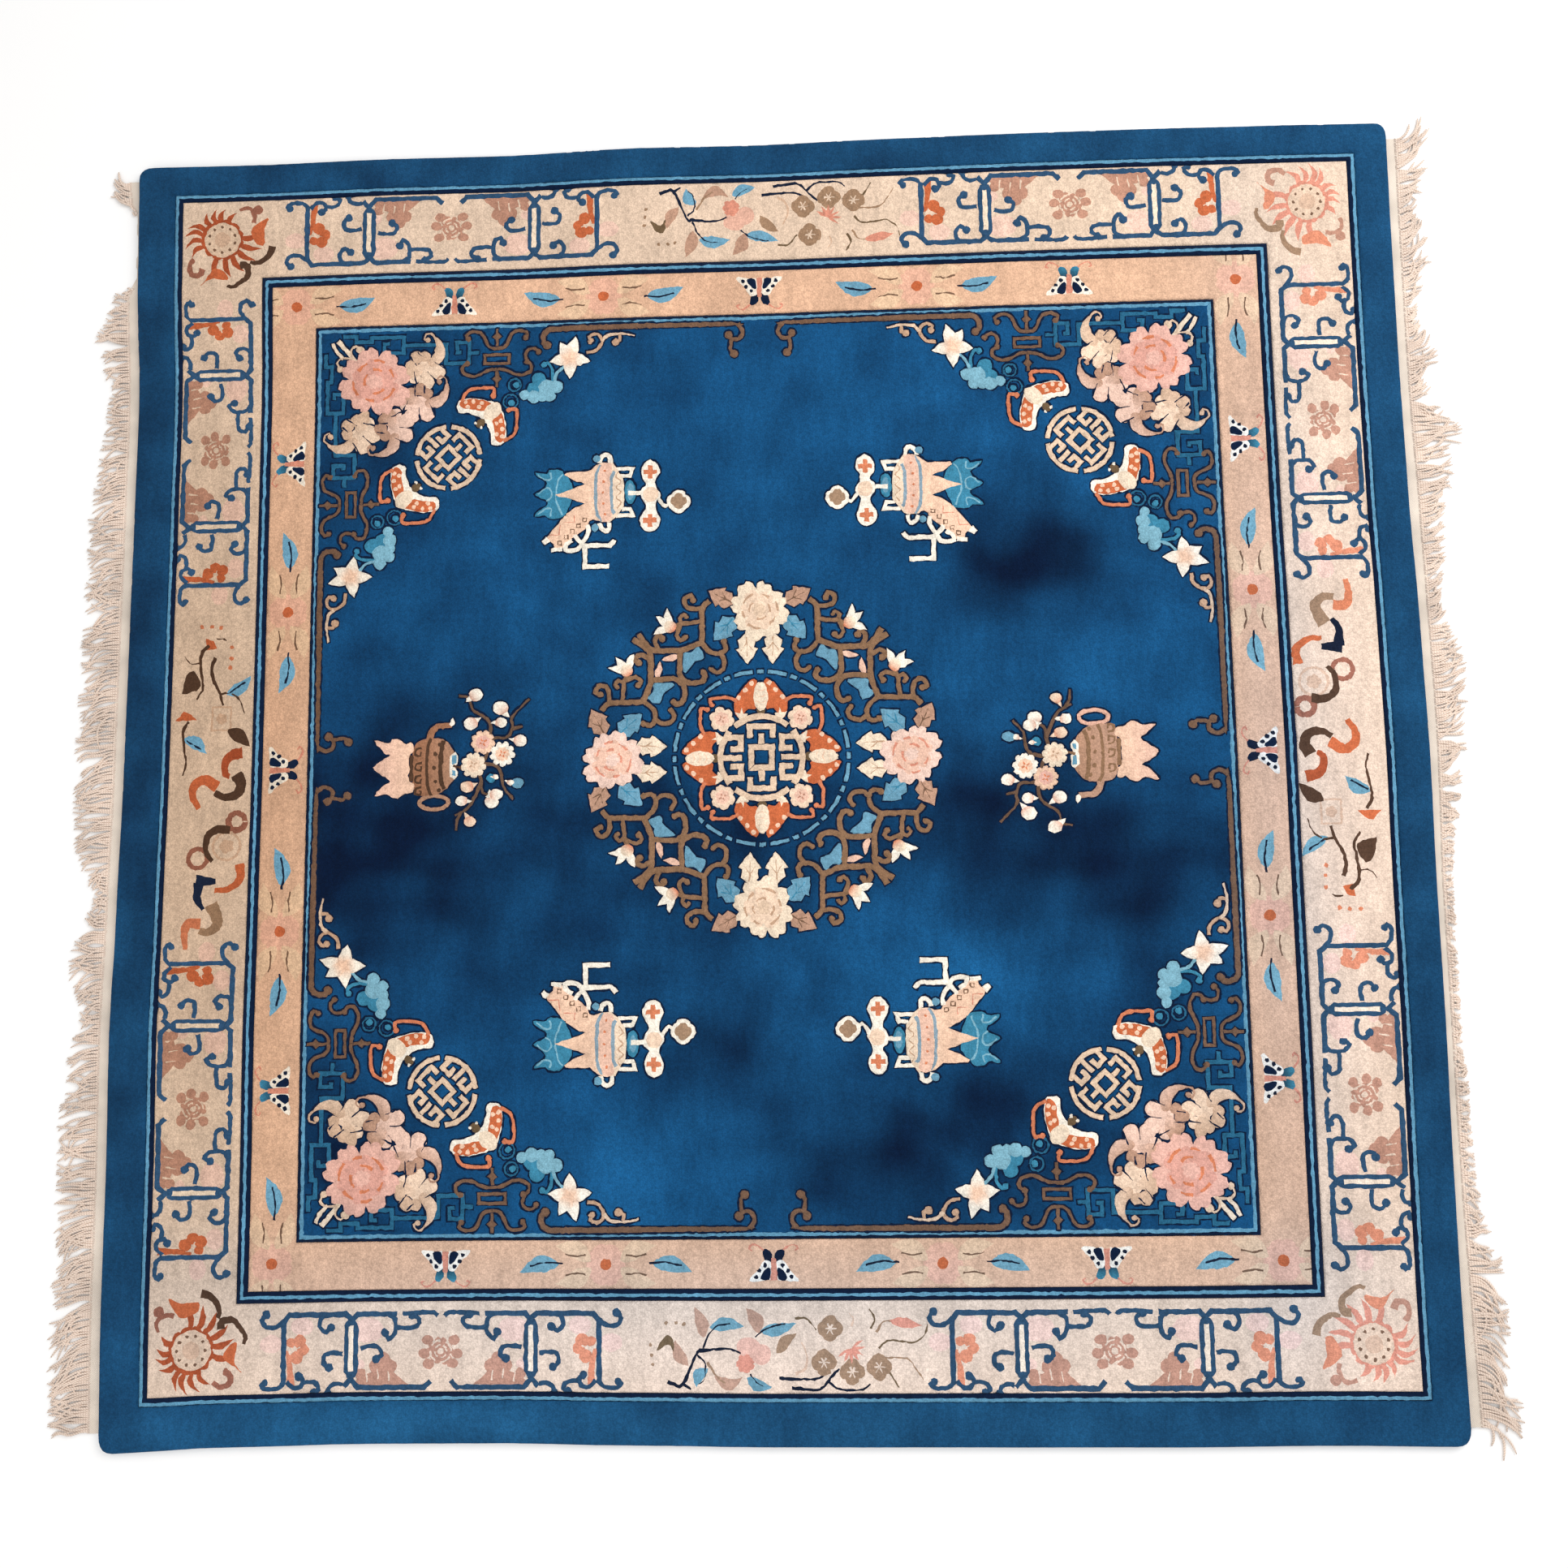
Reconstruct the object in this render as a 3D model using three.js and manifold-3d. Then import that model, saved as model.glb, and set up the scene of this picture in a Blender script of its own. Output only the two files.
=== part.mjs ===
// Square hand-knotted wool rug, lying flat: a thick pile body with a rounded, slightly uneven edge
// and carved grooves between its borders, and at each warp end a plain cotton web with loose fringe.
// Millimetres, +Z up. The origin is on the floor under the middle of the rug, +X runs along the warp
// from one fringe to the other, and +Y points to the far selvedge.
import * as THREE from "three";
import { mergeVertices } from "three/addons/utils/BufferGeometryUtils.js";
import Module from "manifold-3d";

// Driving dimensions
const PILE_SIDE = 2440; // the knotted square, without web and fringe
const RUG_THICKNESS = 14; // foundation and pile together
const EDGE_ROUNDING = 5; // how far the pile and the overcast selvedge round over
const CORNER_ROUNDING = 26; // reach of a worn corner along each edge
const HALF = PILE_SIDE / 2;

// Widths of the bands, from the edge of the pile to the field
const OUTER_BORDER = 69;
const OUTER_GUARD = 15;
const MAIN_BORDER = 160;
const MIDDLE_GUARD = 21;
const INNER_BORDER = 86;
const INNER_GUARD = 12;

// The V-shaped groove that is carved where two bands meet
const GROOVE_WIDTH = 5;
const GROOVE_DEPTH = 2.5;

// The web and its fringe
const WEB_WIDTH = 24;
const WEB_THICKNESS = 4;
const WEB_END_MARGIN = 2; // the web stops this short of the worn corner
const SEAT_GAP = 0.3; // between the pile's edge and the web
const LOCKS_PER_END = 118;
const LOCK_ROOT_WIDTH = 9.5;
const LOCK_TIP_WIDTH = 4.5;
const LOCK_WAVER_DEG = 2; // how far a lock turns from its neighbours' lay
const SHORT_LOCK_SHARE = 0.18; // how much shorter than its neighbours a lock can be

const EDGE_STEPS = 30; // straight steps along one edge
const CORNER_STEPS = 5;
const BEVEL_STEPS = 3;

// How far each edge wanders outwards from the straight line, at even stations.
// Far and near edges run from left to right, left and right edges from far to near.
const EDGE_WANDER = {
  far: [-1, -3, 0, -2, 5, 2, 6, 8, 8, 6, 3],
  near: [8, -3, -8, -8, -3, 1, 2, 3, 4, 2, 5],
  left: [4, 0, -11, -9, -7, -5, 0, 6, 3, 4, 0],
  right: [-2, -4, -5, -3, 3, 6, 3, 3, 0, -1, 1],
};

// How the fringe lies, at stations from the far corner (0) to the near one (1). Reach is from the pile's
// edge to the tips, web is the share of the web's width that is left, and sweep turns the locks towards
// the near side, in degrees.
const FRINGE_LAY = {
  left: [
    { at: 0.0, reach: 66, web: 1.0, sweep: -40 },
    { at: 0.02, reach: 60, web: 0.8, sweep: -20 },
    { at: 0.03, reach: 0, web: 0.25, sweep: 0 },
    { at: 0.085, reach: 0, web: 0.25, sweep: 0 },
    { at: 0.1, reach: 52, web: 1.0, sweep: 4 },
    { at: 0.136, reach: 92, web: 1.0, sweep: 6 },
    { at: 0.176, reach: 62, web: 1.0, sweep: 10 },
    { at: 0.27, reach: 96, web: 1.0, sweep: 12 },
    { at: 0.39, reach: 98, web: 1.0, sweep: 14 },
    { at: 0.54, reach: 110, web: 1.0, sweep: 8 },
    { at: 0.59, reach: 48, web: 1.0, sweep: 4 },
    { at: 0.645, reach: 92, web: 1.0, sweep: 8 },
    { at: 0.68, reach: 62, web: 1.0, sweep: 10 },
    { at: 0.73, reach: 96, web: 1.0, sweep: 14 },
    { at: 1.0, reach: 108, web: 1.0, sweep: 18 },
  ],
  right: [
    { at: 0.0, reach: 110, web: 0.9, sweep: -34 },
    { at: 0.055, reach: 52, web: 0.9, sweep: -34 },
    { at: 0.1, reach: 88, web: 0.9, sweep: -34 },
    { at: 0.152, reach: 44, web: 0.9, sweep: -28 },
    { at: 0.19, reach: 84, web: 0.9, sweep: -24 },
    { at: 0.21, reach: 54, web: 0.9, sweep: -18 },
    { at: 0.245, reach: 112, web: 0.9, sweep: -6 },
    { at: 0.3, reach: 76, web: 1.0, sweep: -14 },
    { at: 0.385, reach: 50, web: 0.9, sweep: -20 },
    { at: 0.44, reach: 94, web: 0.9, sweep: -22 },
    { at: 0.54, reach: 54, web: 0.8, sweep: -6 },
    { at: 0.59, reach: 34, web: 0.7, sweep: 4 },
    { at: 0.72, reach: 34, web: 0.7, sweep: 10 },
    { at: 0.85, reach: 50, web: 0.8, sweep: 16 },
    { at: 0.9, reach: 92, web: 0.9, sweep: 32 },
    { at: 1.0, reach: 106, web: 1.0, sweep: 34 },
  ],
};

const wasm = await Module();
wasm.setup();

function toSolid(geometry) {
  const bare = geometry.index ? geometry.toNonIndexed() : geometry.clone();
  bare.deleteAttribute("normal");
  bare.deleteAttribute("uv");
  const merged = mergeVertices(bare, 1e-3);
  return new wasm.Manifold(
    new wasm.Mesh({
      numProp: 3,
      vertProperties: merged.attributes.position.array,
      triVerts: new Uint32Array(merged.index.array),
    }),
  );
}

function toGeometry(solid) {
  const mesh = solid.getMesh();
  const geometry = new THREE.BufferGeometry();
  geometry.setAttribute("position", new THREE.BufferAttribute(mesh.vertProperties, 3));
  geometry.setIndex(new THREE.BufferAttribute(mesh.triVerts, 1));
  geometry.computeVertexNormals();
  return geometry;
}

// A smooth value between even stations, for a share from 0 to 1 along them.
function waver(stations, share) {
  const place = THREE.MathUtils.clamp(share, 0, 1) * (stations.length - 1);
  const from = Math.min(Math.floor(place), stations.length - 2);
  const blend = THREE.MathUtils.smoothstep(place - from, 0, 1);
  return THREE.MathUtils.lerp(stations[from], stations[from + 1], blend);
}

// How the fringe lies at a share along one end, between the two nearest rows of its table.
function layAt(direction, share) {
  const rows = direction < 0 ? FRINGE_LAY.left : FRINGE_LAY.right;
  const next = Math.max(1, rows.findIndex((row) => row.at >= share));
  const [a, b] = [rows[next - 1], rows[next]];
  const blend = (share - a.at) / (b.at - a.at);
  return {
    reach: THREE.MathUtils.lerp(a.reach, b.reach, blend),
    web: THREE.MathUtils.lerp(a.web, b.web, blend),
    sweep: THREE.MathUtils.degToRad(THREE.MathUtils.lerp(a.sweep, b.sweep, blend)),
  };
}

// A repeatable value from -1 to 1 for each lock.
function scatter(index, seed) {
  const wave = Math.sin(index * 12.9898 + seed * 78.233) * 43758.5453;
  return 2 * (wave - Math.floor(wave)) - 1;
}

const alongEdge = (share) => THREE.MathUtils.lerp(HALF, -HALF, share);

// X of the pile's left (-1) or right (1) edge at a share of the way from the far corner to the near one.
function endEdgeX(direction, share) {
  const stations = direction < 0 ? EDGE_WANDER.left : EDGE_WANDER.right;
  return direction * (HALF + waver(stations, share));
}

// The outline of the pile, clockwise from the far left corner, with its worn corners rounded.
function pileOutline() {
  const inset = CORNER_ROUNDING / PILE_SIDE;
  const shares = Array.from({ length: EDGE_STEPS + 1 }, (_, i) =>
    THREE.MathUtils.lerp(inset, 1 - inset, i / EDGE_STEPS),
  );
  const backwards = [...shares].reverse();
  const far = shares.map((s) => new THREE.Vector2(-alongEdge(s), HALF + waver(EDGE_WANDER.far, s)));
  const right = shares.map((s) => new THREE.Vector2(endEdgeX(1, s), alongEdge(s)));
  const near = backwards.map((s) => new THREE.Vector2(-alongEdge(s), -HALF - waver(EDGE_WANDER.near, s)));
  const left = backwards.map((s) => new THREE.Vector2(endEdgeX(-1, s), alongEdge(s)));
  const edges = [far, right, near, left];
  const corners = [
    new THREE.Vector2(endEdgeX(1, 0), far.at(-1).y),
    new THREE.Vector2(endEdgeX(1, 1), near[0].y),
    new THREE.Vector2(endEdgeX(-1, 1), near.at(-1).y),
    new THREE.Vector2(endEdgeX(-1, 0), far[0].y),
  ];
  const outline = new THREE.Shape();
  outline.moveTo(far[0].x, far[0].y);
  edges.forEach((edge, i) => {
    edge.slice(1).forEach((p) => outline.lineTo(p.x, p.y));
    const next = edges[(i + 1) % edges.length][0];
    outline.quadraticCurveTo(corners[i].x, corners[i].y, next.x, next.y);
  });
  return outline;
}

// A square ring of V section that cuts one carved groove into the top of the pile.
function grooveCutter(halfWidth) {
  const overTop = GROOVE_DEPTH;
  const rise = (GROOVE_WIDTH / 2) * ((GROOVE_DEPTH + overTop) / GROOVE_DEPTH);
  const toCorner = Math.SQRT2;
  const low = RUG_THICKNESS - GROOVE_DEPTH;
  const high = RUG_THICKNESS + overTop;
  const profile = [
    new THREE.Vector2((halfWidth - rise) * toCorner, high),
    new THREE.Vector2(halfWidth * toCorner, low),
    new THREE.Vector2((halfWidth + rise) * toCorner, high),
    new THREE.Vector2((halfWidth - rise) * toCorner, high),
  ];
  return new THREE.LatheGeometry(profile, 4, Math.PI / 4).rotateX(Math.PI / 2);
}

function pileBody() {
  const slab = new THREE.ExtrudeGeometry(pileOutline(), {
    depth: RUG_THICKNESS - 2 * EDGE_ROUNDING,
    curveSegments: CORNER_STEPS,
    bevelThickness: EDGE_ROUNDING,
    bevelSize: EDGE_ROUNDING,
    bevelOffset: -EDGE_ROUNDING,
    bevelSegments: BEVEL_STEPS,
  }).translate(0, 0, EDGE_ROUNDING);
  const bands = [OUTER_BORDER, OUTER_GUARD, MAIN_BORDER, MIDDLE_GUARD, INNER_BORDER, INNER_GUARD];
  let halfWidth = HALF;
  let solid = toSolid(slab);
  for (const band of bands) {
    halfWidth -= band;
    solid = solid.subtract(toSolid(grooveCutter(halfWidth)));
  }
  return toGeometry(solid);
}

// The rim of the web, where the locks leave it.
function rimAt(direction, share) {
  const width = WEB_WIDTH * layAt(direction, share).web;
  return new THREE.Vector2(endEdgeX(direction, share) + direction * width, alongEdge(share));
}

// One lock in plan: out along its far side, and back along its near side.
function lockOutline(index, direction, share) {
  const lay = layAt(direction, share);
  const fullLength = lay.reach - WEB_WIDTH * lay.web;
  if (fullLength < LOCK_ROOT_WIDTH) return [];
  const length = fullLength * (1 - SHORT_LOCK_SHARE * Math.abs(scatter(index, direction)));
  const sweep = lay.sweep + THREE.MathUtils.degToRad(LOCK_WAVER_DEG * scatter(index, 2 * direction));
  const root = rimAt(direction, share);
  const stations = [0, 0.35, 0.7, 1];
  const middle = stations.map((s) => {
    const outwards = direction * length * s * Math.cos(sweep * s);
    const nearwards = length * s * Math.sin(sweep * s);
    return new THREE.Vector2(root.x + outwards, root.y - nearwards);
  });
  const halfWidths = stations.map((s) => THREE.MathUtils.lerp(LOCK_ROOT_WIDTH, LOCK_TIP_WIDTH, s) / 2);
  const farSide = middle.map((p, i) => new THREE.Vector2(p.x, p.y + halfWidths[i]));
  const nearSide = middle.map((p, i) => new THREE.Vector2(p.x, p.y - halfWidths[i]));
  return [...farSide, ...nearSide.reverse()];
}

// The web along one warp end, as a comb whose teeth are the locks of the fringe.
function webWithFringe(direction) {
  const margin = (CORNER_ROUNDING + WEB_END_MARGIN) / PILE_SIDE;
  const rootMargin = margin + LOCK_ROOT_WIDTH / PILE_SIDE;
  const seat = Array.from({ length: EDGE_STEPS + 1 }, (_, i) => {
    const share = THREE.MathUtils.lerp(1 - margin, margin, i / EDGE_STEPS);
    return new THREE.Vector2(endEdgeX(direction, share) + direction * SEAT_GAP, alongEdge(share));
  });
  const teeth = Array.from({ length: LOCKS_PER_END }, (_, i) => {
    const share = THREE.MathUtils.lerp(rootMargin, 1 - rootMargin, i / (LOCKS_PER_END - 1));
    const lock = lockOutline(i, direction, share);
    return lock.length ? lock : [rimAt(direction, share)];
  });
  const rimStart = rimAt(direction, margin);
  const rimEnd = rimAt(direction, 1 - margin);
  const comb = new THREE.Shape([...seat, rimStart, ...teeth.flat(), rimEnd]);
  return new THREE.ExtrudeGeometry(comb, { depth: WEB_THICKNESS, bevelEnabled: false });
}

const pileWool = new THREE.MeshStandardMaterial({ color: 0x1d4f80, roughness: 0.95, metalness: 0 });
const fringeCotton = new THREE.MeshStandardMaterial({ color: 0xddd0c0, roughness: 0.9, metalness: 0 });

function piece(name, geometry, material) {
  const mesh = new THREE.Mesh(geometry, material);
  mesh.name = name;
  return mesh;
}

const rug = new THREE.Group();
rug.add(piece("pile_body", pileBody(), pileWool));
rug.add(piece("left_fringe", webWithFringe(-1), fringeCotton));
rug.add(piece("right_fringe", webWithFringe(1), fringeCotton));

export default rug;
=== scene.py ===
"""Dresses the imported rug: knotted wool pile with its carved design, woven back, webs, fringe and stage.

The design is drawn as a plan of filled outlines in millimetres, x + yj, as a weaver's cartoon is.
Each band of pile is then a mesh that is cut along those outlines.
"""

import cmath
import math
from functools import partial

import bpy
import numpy as np
from bpy.props import FloatProperty, FloatVectorProperty, IntProperty, PointerProperty
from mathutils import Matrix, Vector
from mathutils.geometry import delaunay_2d_cdt
from mathutils.kdtree import KDTree


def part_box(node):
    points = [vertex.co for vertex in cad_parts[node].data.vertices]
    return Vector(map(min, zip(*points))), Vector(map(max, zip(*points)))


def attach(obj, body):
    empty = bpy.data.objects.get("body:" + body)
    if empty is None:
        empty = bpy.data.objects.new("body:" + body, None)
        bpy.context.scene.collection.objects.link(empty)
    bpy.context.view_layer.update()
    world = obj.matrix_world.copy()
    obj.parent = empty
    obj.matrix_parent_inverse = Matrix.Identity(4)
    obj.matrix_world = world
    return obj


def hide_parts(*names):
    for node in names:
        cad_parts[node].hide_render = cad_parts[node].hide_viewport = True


bl_info = {
    "name": "Knotted wool rug",
    "version": (1, 0, 0),
    "blender": (4, 5, 0),
    "location": "View3D > Sidebar > Rug",
    "description": "Knots the pile, weaves the back and lays the fringe of a square wool rug",
    "category": "Object",
}

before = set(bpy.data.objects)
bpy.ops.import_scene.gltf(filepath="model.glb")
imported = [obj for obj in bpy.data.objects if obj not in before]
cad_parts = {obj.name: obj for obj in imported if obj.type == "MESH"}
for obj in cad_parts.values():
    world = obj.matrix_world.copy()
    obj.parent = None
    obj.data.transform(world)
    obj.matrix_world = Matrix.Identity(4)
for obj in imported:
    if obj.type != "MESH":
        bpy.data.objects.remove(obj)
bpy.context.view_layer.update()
BODY = "root"
MM = 0.001

# Sizes of the knotted square, in millimetres; the height of the pile is from the imported solids

PILE_SIDE = 2440.0
HALF = PILE_SIDE / 2
PILE_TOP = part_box("pile_body")[1].z / MM
BACK_TOP = 3.0  # the woven foundation under the pile
SEAT_GAP = 0.1

# Drawing kit: a point is x + yj in millimetres

SMOOTH_STEP = 5.5  # mm between points along a curve


def placed(at=0j, turn=0.0, size=1.0, flip=False):
    """A placing for a motif: mirrored if flip is set, then sized, turned in degrees and moved."""
    spin = size * cmath.exp(1j * math.radians(turn))
    return lambda z: at + spin * (np.conj(z) if flip else np.asarray(z, complex))


def smooth(points, closed=False):
    """A smooth line through a few points."""
    p = np.asarray(points, complex)
    ends = (p[-1:], p[:2]) if closed else ([2 * p[0] - p[1]], [2 * p[-1] - p[-2]])
    p = np.concatenate([ends[0], p, ends[1]])
    parts = []
    for a, b, c, d in zip(p, p[1:], p[2:], p[3:]):
        t = np.arange(max(2, round(abs(c - b) / SMOOTH_STEP)))
        t = t / len(t)
        bend = (2 * a - 5 * b + 4 * c - d) * t**2 + (3 * b - a - 3 * c + d) * t**3
        parts.append(b + ((c - a) * t + bend) / 2)
    return np.concatenate(parts if closed else parts + [p[-2:-1]])


def ribbon(points, width, tip=None, square=False, closed=False):
    """The outline of a stroke along a line, tapering from width to tip."""
    if square:
        line = np.asarray(points, complex)
    else:
        line = smooth(points, closed)
    if closed:
        line = np.append(line, line[:1])
    run = np.diff(line)
    run = run / np.abs(run)
    before = np.concatenate([run[-1:] if closed else run[:1], run])
    after = np.concatenate([run, run[:1] if closed else run[-1:]])
    lean = 1 + (before * after.conj()).real
    side = 1j * (before + after) / np.maximum(lean, 0.35)
    half = np.linspace(width, width if tip is None else tip, len(line)) / 2
    return np.concatenate([line + side * half, (line - side * half)[::-1]])


def disc(centre, radius, wide=1.0):
    """A round spot, or an oval one that is wide times as wide as it is high."""
    turn = np.linspace(0, 2 * np.pi, max(8, round(6 * radius / SMOOTH_STEP)), endpoint=False)
    return centre + radius * (wide * np.cos(turn) + 1j * np.sin(turn))


def lobed(centre, radius, lobes, depth, turn=0.0):
    """A round flower edge with that many rounded petals, notched by a share of the radius."""
    points = max(lobes * 6, round(7 * radius / SMOOTH_STEP))
    angle = np.linspace(0, 2 * np.pi, points, endpoint=False)
    notch = np.abs(np.sin(lobes * angle / 2)) ** 0.6
    return centre + radius * (1 - depth + depth * notch) * np.exp(1j * (angle + math.radians(turn)))


def ruffled(centre, radius, petals, turn=0.0):
    """The uneven edge of a full flower, each petal cleft at its tip."""
    angle = np.linspace(0, 2 * np.pi, max(petals * 8, round(6.4 * radius / SMOOTH_STEP)), endpoint=False)
    lobe = np.abs(np.sin(petals * angle / 2)) ** 0.5
    cleft = np.clip(1 - np.abs(np.cos(petals * angle / 2)) / 0.4, 0, 1)
    uneven = 1 + 0.05 * np.sin(2 * angle + 1) + 0.04 * np.sin(3 * angle)
    reach = radius * uneven * (0.7 + 0.3 * lobe - 0.12 * cleft)
    return centre + reach * np.exp(1j * (angle + math.radians(turn)))


def leaf(base, tip, width, bow=0.0):
    """A pointed leaf whose middle bows sideways."""
    t = np.linspace(0, 1, max(5, round(abs(tip - base) / SMOOTH_STEP)))
    side = 1j * (tip - base) / abs(tip - base)
    line = base + (tip - base) * t + side * bow * np.sin(np.pi * t)
    half = side * width / 2 * np.sin(np.pi * t**0.8)
    return np.concatenate([line + half, (line - half)[-2:0:-1]])


def blob(*points):
    """A soft closed shape through a few points."""
    return smooth(points, closed=True)


def sharp(*points):
    """A closed shape with straight sides."""
    return np.asarray(points, complex)


def square_ring(centre, width, height, stroke):
    """A rectangular ring."""
    w, h = width / 2, height / 2
    corners = [centre - w - h * 1j, centre + w - h * 1j, centre + w + h * 1j, centre - w + h * 1j]
    return ribbon(corners, stroke, square=True, closed=True)


def patch(outline, yarn, fade=None, carved=True):
    """One area of yarn. fade is (from, to, yarn at the far end)."""
    return outline, yarn, fade, carved


def plain(outline, yarn, fade=None):
    """An area that only changes colour, with no groove around it."""
    return patch(outline, yarn, fade, carved=False)


def curl(points, width, yarn, knob=0.0, tip=None, square=False):
    """A scroll: a stroke that ends in a round knob."""
    stroke = patch(ribbon(points, width, tip, square), yarn)
    return [stroke, patch(disc(points[-1], knob), yarn)] if knob else [stroke]


def turned(patches, put):
    """The patches of a motif after a placing."""
    return [
        (put(outline), yarn, fade and (put(fade[0]), put(fade[1]), fade[2]), carved)
        for outline, yarn, fade, carved in patches
    ]


def mirrored(patches):
    """The patches and their mirror images across the motif's upright axis."""
    return patches + turned(patches, lambda z: -np.conj(z))


def arc(radius, start, end):
    """Points along an arc around the origin, from one angle to another, in degrees."""
    steps = max(3, round(abs(end - start) / 20) + 1)
    return [radius * cmath.exp(1j * math.radians(a)) for a in np.linspace(start, end, steps)]


# Flowers, leaves and animals

PEONY_BRUSH = [(0.6, 20, 46), (0.56, 92, 26), (0.62, 140, 44), (0.58, 214, 34), (0.62, 268, 30),
               (0.55, 322, 26),
               (0.34, 40, 60), (0.3, 160, 70), (0.36, 262, 44)]


def peony(radius, petal, inner, brush, heart):
    """A full ruffled peony: petals, an inner ring, brush marks and a pale heart."""
    marks = [
        plain(ribbon(arc(share * radius, start, start + span), 0.09 * radius, 0.05 * radius), brush)
        for share, start, span in PEONY_BRUSH
    ]
    return [
        patch(ruffled(0, 1.04 * radius, 8, 8), petal),
        plain(ruffled(0, 0.7 * radius, 6), inner),
        *marks,
        plain(ruffled(0, 0.24 * radius, 5), heart),
    ]


def blossom(radius, petal, middle, heart, petals=6):
    """A small open flower."""
    stamens = [
        plain(ribbon([0.1 * radius * ray, 0.34 * radius * ray], 0.16 * radius, 0.08 * radius), heart)
        for ray in np.exp(2j * np.pi * (np.arange(4) + 0.3) / 4)
    ]
    return [
        patch(lobed(0, radius, petals, 0.2, 12), petal),
        plain(lobed(0, 0.58 * radius, petals, 0.16, 12), middle),
        *stamens,
    ]


def curled_leaf(pale, dark):
    """A lobed leaf whose long horn rolls up into a small coil."""
    lobes = [(29 - 39j, 15), (58 - 37j, 15), (46 - 20j, 19), (16 - 17j, 12)]
    crown = [(44 + 13j, 13), (26 + 6j, 12), (58 + 4j, 11)]
    horn = blob(56 - 22j, 82 - 24j, 97 - 8j, 101 + 10j, 96 + 26j, 90 + 10j, 76 - 2j, 56 - 8j)
    clefts = [[43 - 24j, 45 - 54j], [64 - 16j, 74 - 40j], [34 - 2j, 35 + 24j], [54 + 4j, 52 + 20j],
              [22 - 8j, 10 - 32j]]
    return [
        *(patch(disc(c, r), pale) for c, r in lobes),
        patch(horn, dark, (74 + 6j, 98 - 22j, pale)),
        *(patch(disc(c, r), dark) for c, r in crown),
        patch(leaf(-4 + 4j, 52 - 14j, 26), dark, (20 + 4j, 52 - 20j, pale)),
        # painted shade: navy lines in the clefts between the lobes, for the shadow in their carved gaps
        *(plain(ribbon(line, 1.4, 3.4), "navy") for line in clefts),
        *curl([96 + 22j, 95 + 33j, 86 + 38j, 78 + 33j, 82 + 27j], 3.6, dark, 5.5),
    ]


def corner_bat():
    """A bat seen from above, flying to +X, with dotted wings and long curled feelers."""
    dots = [-6 + 26j, -15 + 40j, -26 + 50j, -15 + 24j, -30 + 40j]
    half = [
        patch(blob(10 + 6j, 2 + 28j, -16 + 51j, -36 + 61j, -50 + 46j, -37 + 29j, -29 + 10j, -26 - 2j),
              "ivory"),
        plain(blob(7 + 10j, -1 + 31j, -17 + 50j, -34 + 58j, -39 + 45j, -24 + 26j, -14 + 12j), "rust"),
        *(plain(disc(z, 4.4), "peach") for z in dots),
        *curl([-30 + 58j, -5 + 63j, 22 + 42j, 31 + 29j, 20 + 21j], 6.5, "salmon", 5.5),
    ]
    return [
        *half,
        *turned(half, np.conj),
        patch(disc(-36, 8, 1.3), "olive"),
        plain(disc(-41 + 8j, 3), "ivory"),
        plain(disc(-43 - 6j, 3), "ivory"),
        patch(disc(-3, 15, 1.35), "cream"),
    ]


def medallion_bat():
    """A bat with a long body and full wings, flying to +Y."""
    half = [
        patch(blob(8 + 30j, 22 + 29j, 40 + 8j, 52 - 14j, 48 - 34j, 40 - 42j, 24 - 24j, 8 - 22j), "rust"),
        patch(blob(50 - 30j, 42 - 43j, 36 - 49j, 26 - 34j, 34 - 33j, 36 - 22j, 40 - 32j), "cream"),
        *(plain(disc(z, 4.8), "peach") for z in (17 + 25j, 29 + 12j, 42 - 2j)),
        *curl([46 - 10j, 62 - 2j, 82 - 2j, 97 - 4j, 94 - 15j], 6.5, "salmon", 5),
    ]
    ribs = [plain(ribbon([-9 + y * 1j, (y - 4) * 1j, 9 + y * 1j], 1.8), "peach") for y in (14, 2, -10)]
    return [
        *mirrored(half),
        patch(disc(-27j, 9), "olive"),
        plain(disc(-6 - 38j, 3), "ivory"),
        plain(disc(6 - 38j, 3), "ivory"),
        patch(disc(0, 28, 0.5), "cream"),
        *ribs,
    ]


def star_flower():
    """Five pointed petals, one long one below."""
    reach = {-74: 46, 10: 41, 90: 42, 173: 40, 240: 38}
    return [
        patch(leaf(-6 * ray, length * ray, 25), "peach", (8 * ray, 22 * ray, "ivory"))
        for ray, length in ((cmath.exp(1j * math.radians(a)), r) for a, r in reach.items())
    ]


def lotus_bud():
    """A half-open flower on its stem, pointing to +Y, with a blush at its foot."""
    petals = [leaf(-6 + 4j, -30 + 26j, 15, -4), leaf(6 + 4j, 28 + 30j, 14, 4), leaf(0, 4 + 40j, 17)]
    return [
        *(patch(petal, "ivory") for petal in petals),
        patch(disc(6j, 12), "cream", (10j, -6j, "salmon")),
    ]


def spiked_leaf(base, tip, width, yarn, vein):
    """A leaf with side points and a dark vein."""
    run = tip - base
    side = 1j * run / abs(run) * width / 2
    edge = [(0.0, 0.1), (0.2, 0.85), (0.45, 0.72), (0.5, 1.05), (0.78, 0.5), (1.0, 0.0)]
    left = [base + s * run + k * side for s, k in edge]
    right = [base + s * run - k * side for s, k in edge[-2::-1]]
    vein_line = ribbon([base + 0.06 * run, base + 0.74 * run], 2.6, 1.2)
    ribs = [
        plain(ribbon([base + 0.3 * run, base + 0.55 * run + k * side], 2, 1), vein) for k in (0.55, -0.55)
    ]
    return [patch(sharp(*left, *right), yarn), plain(vein_line, vein), *ribs]


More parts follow.
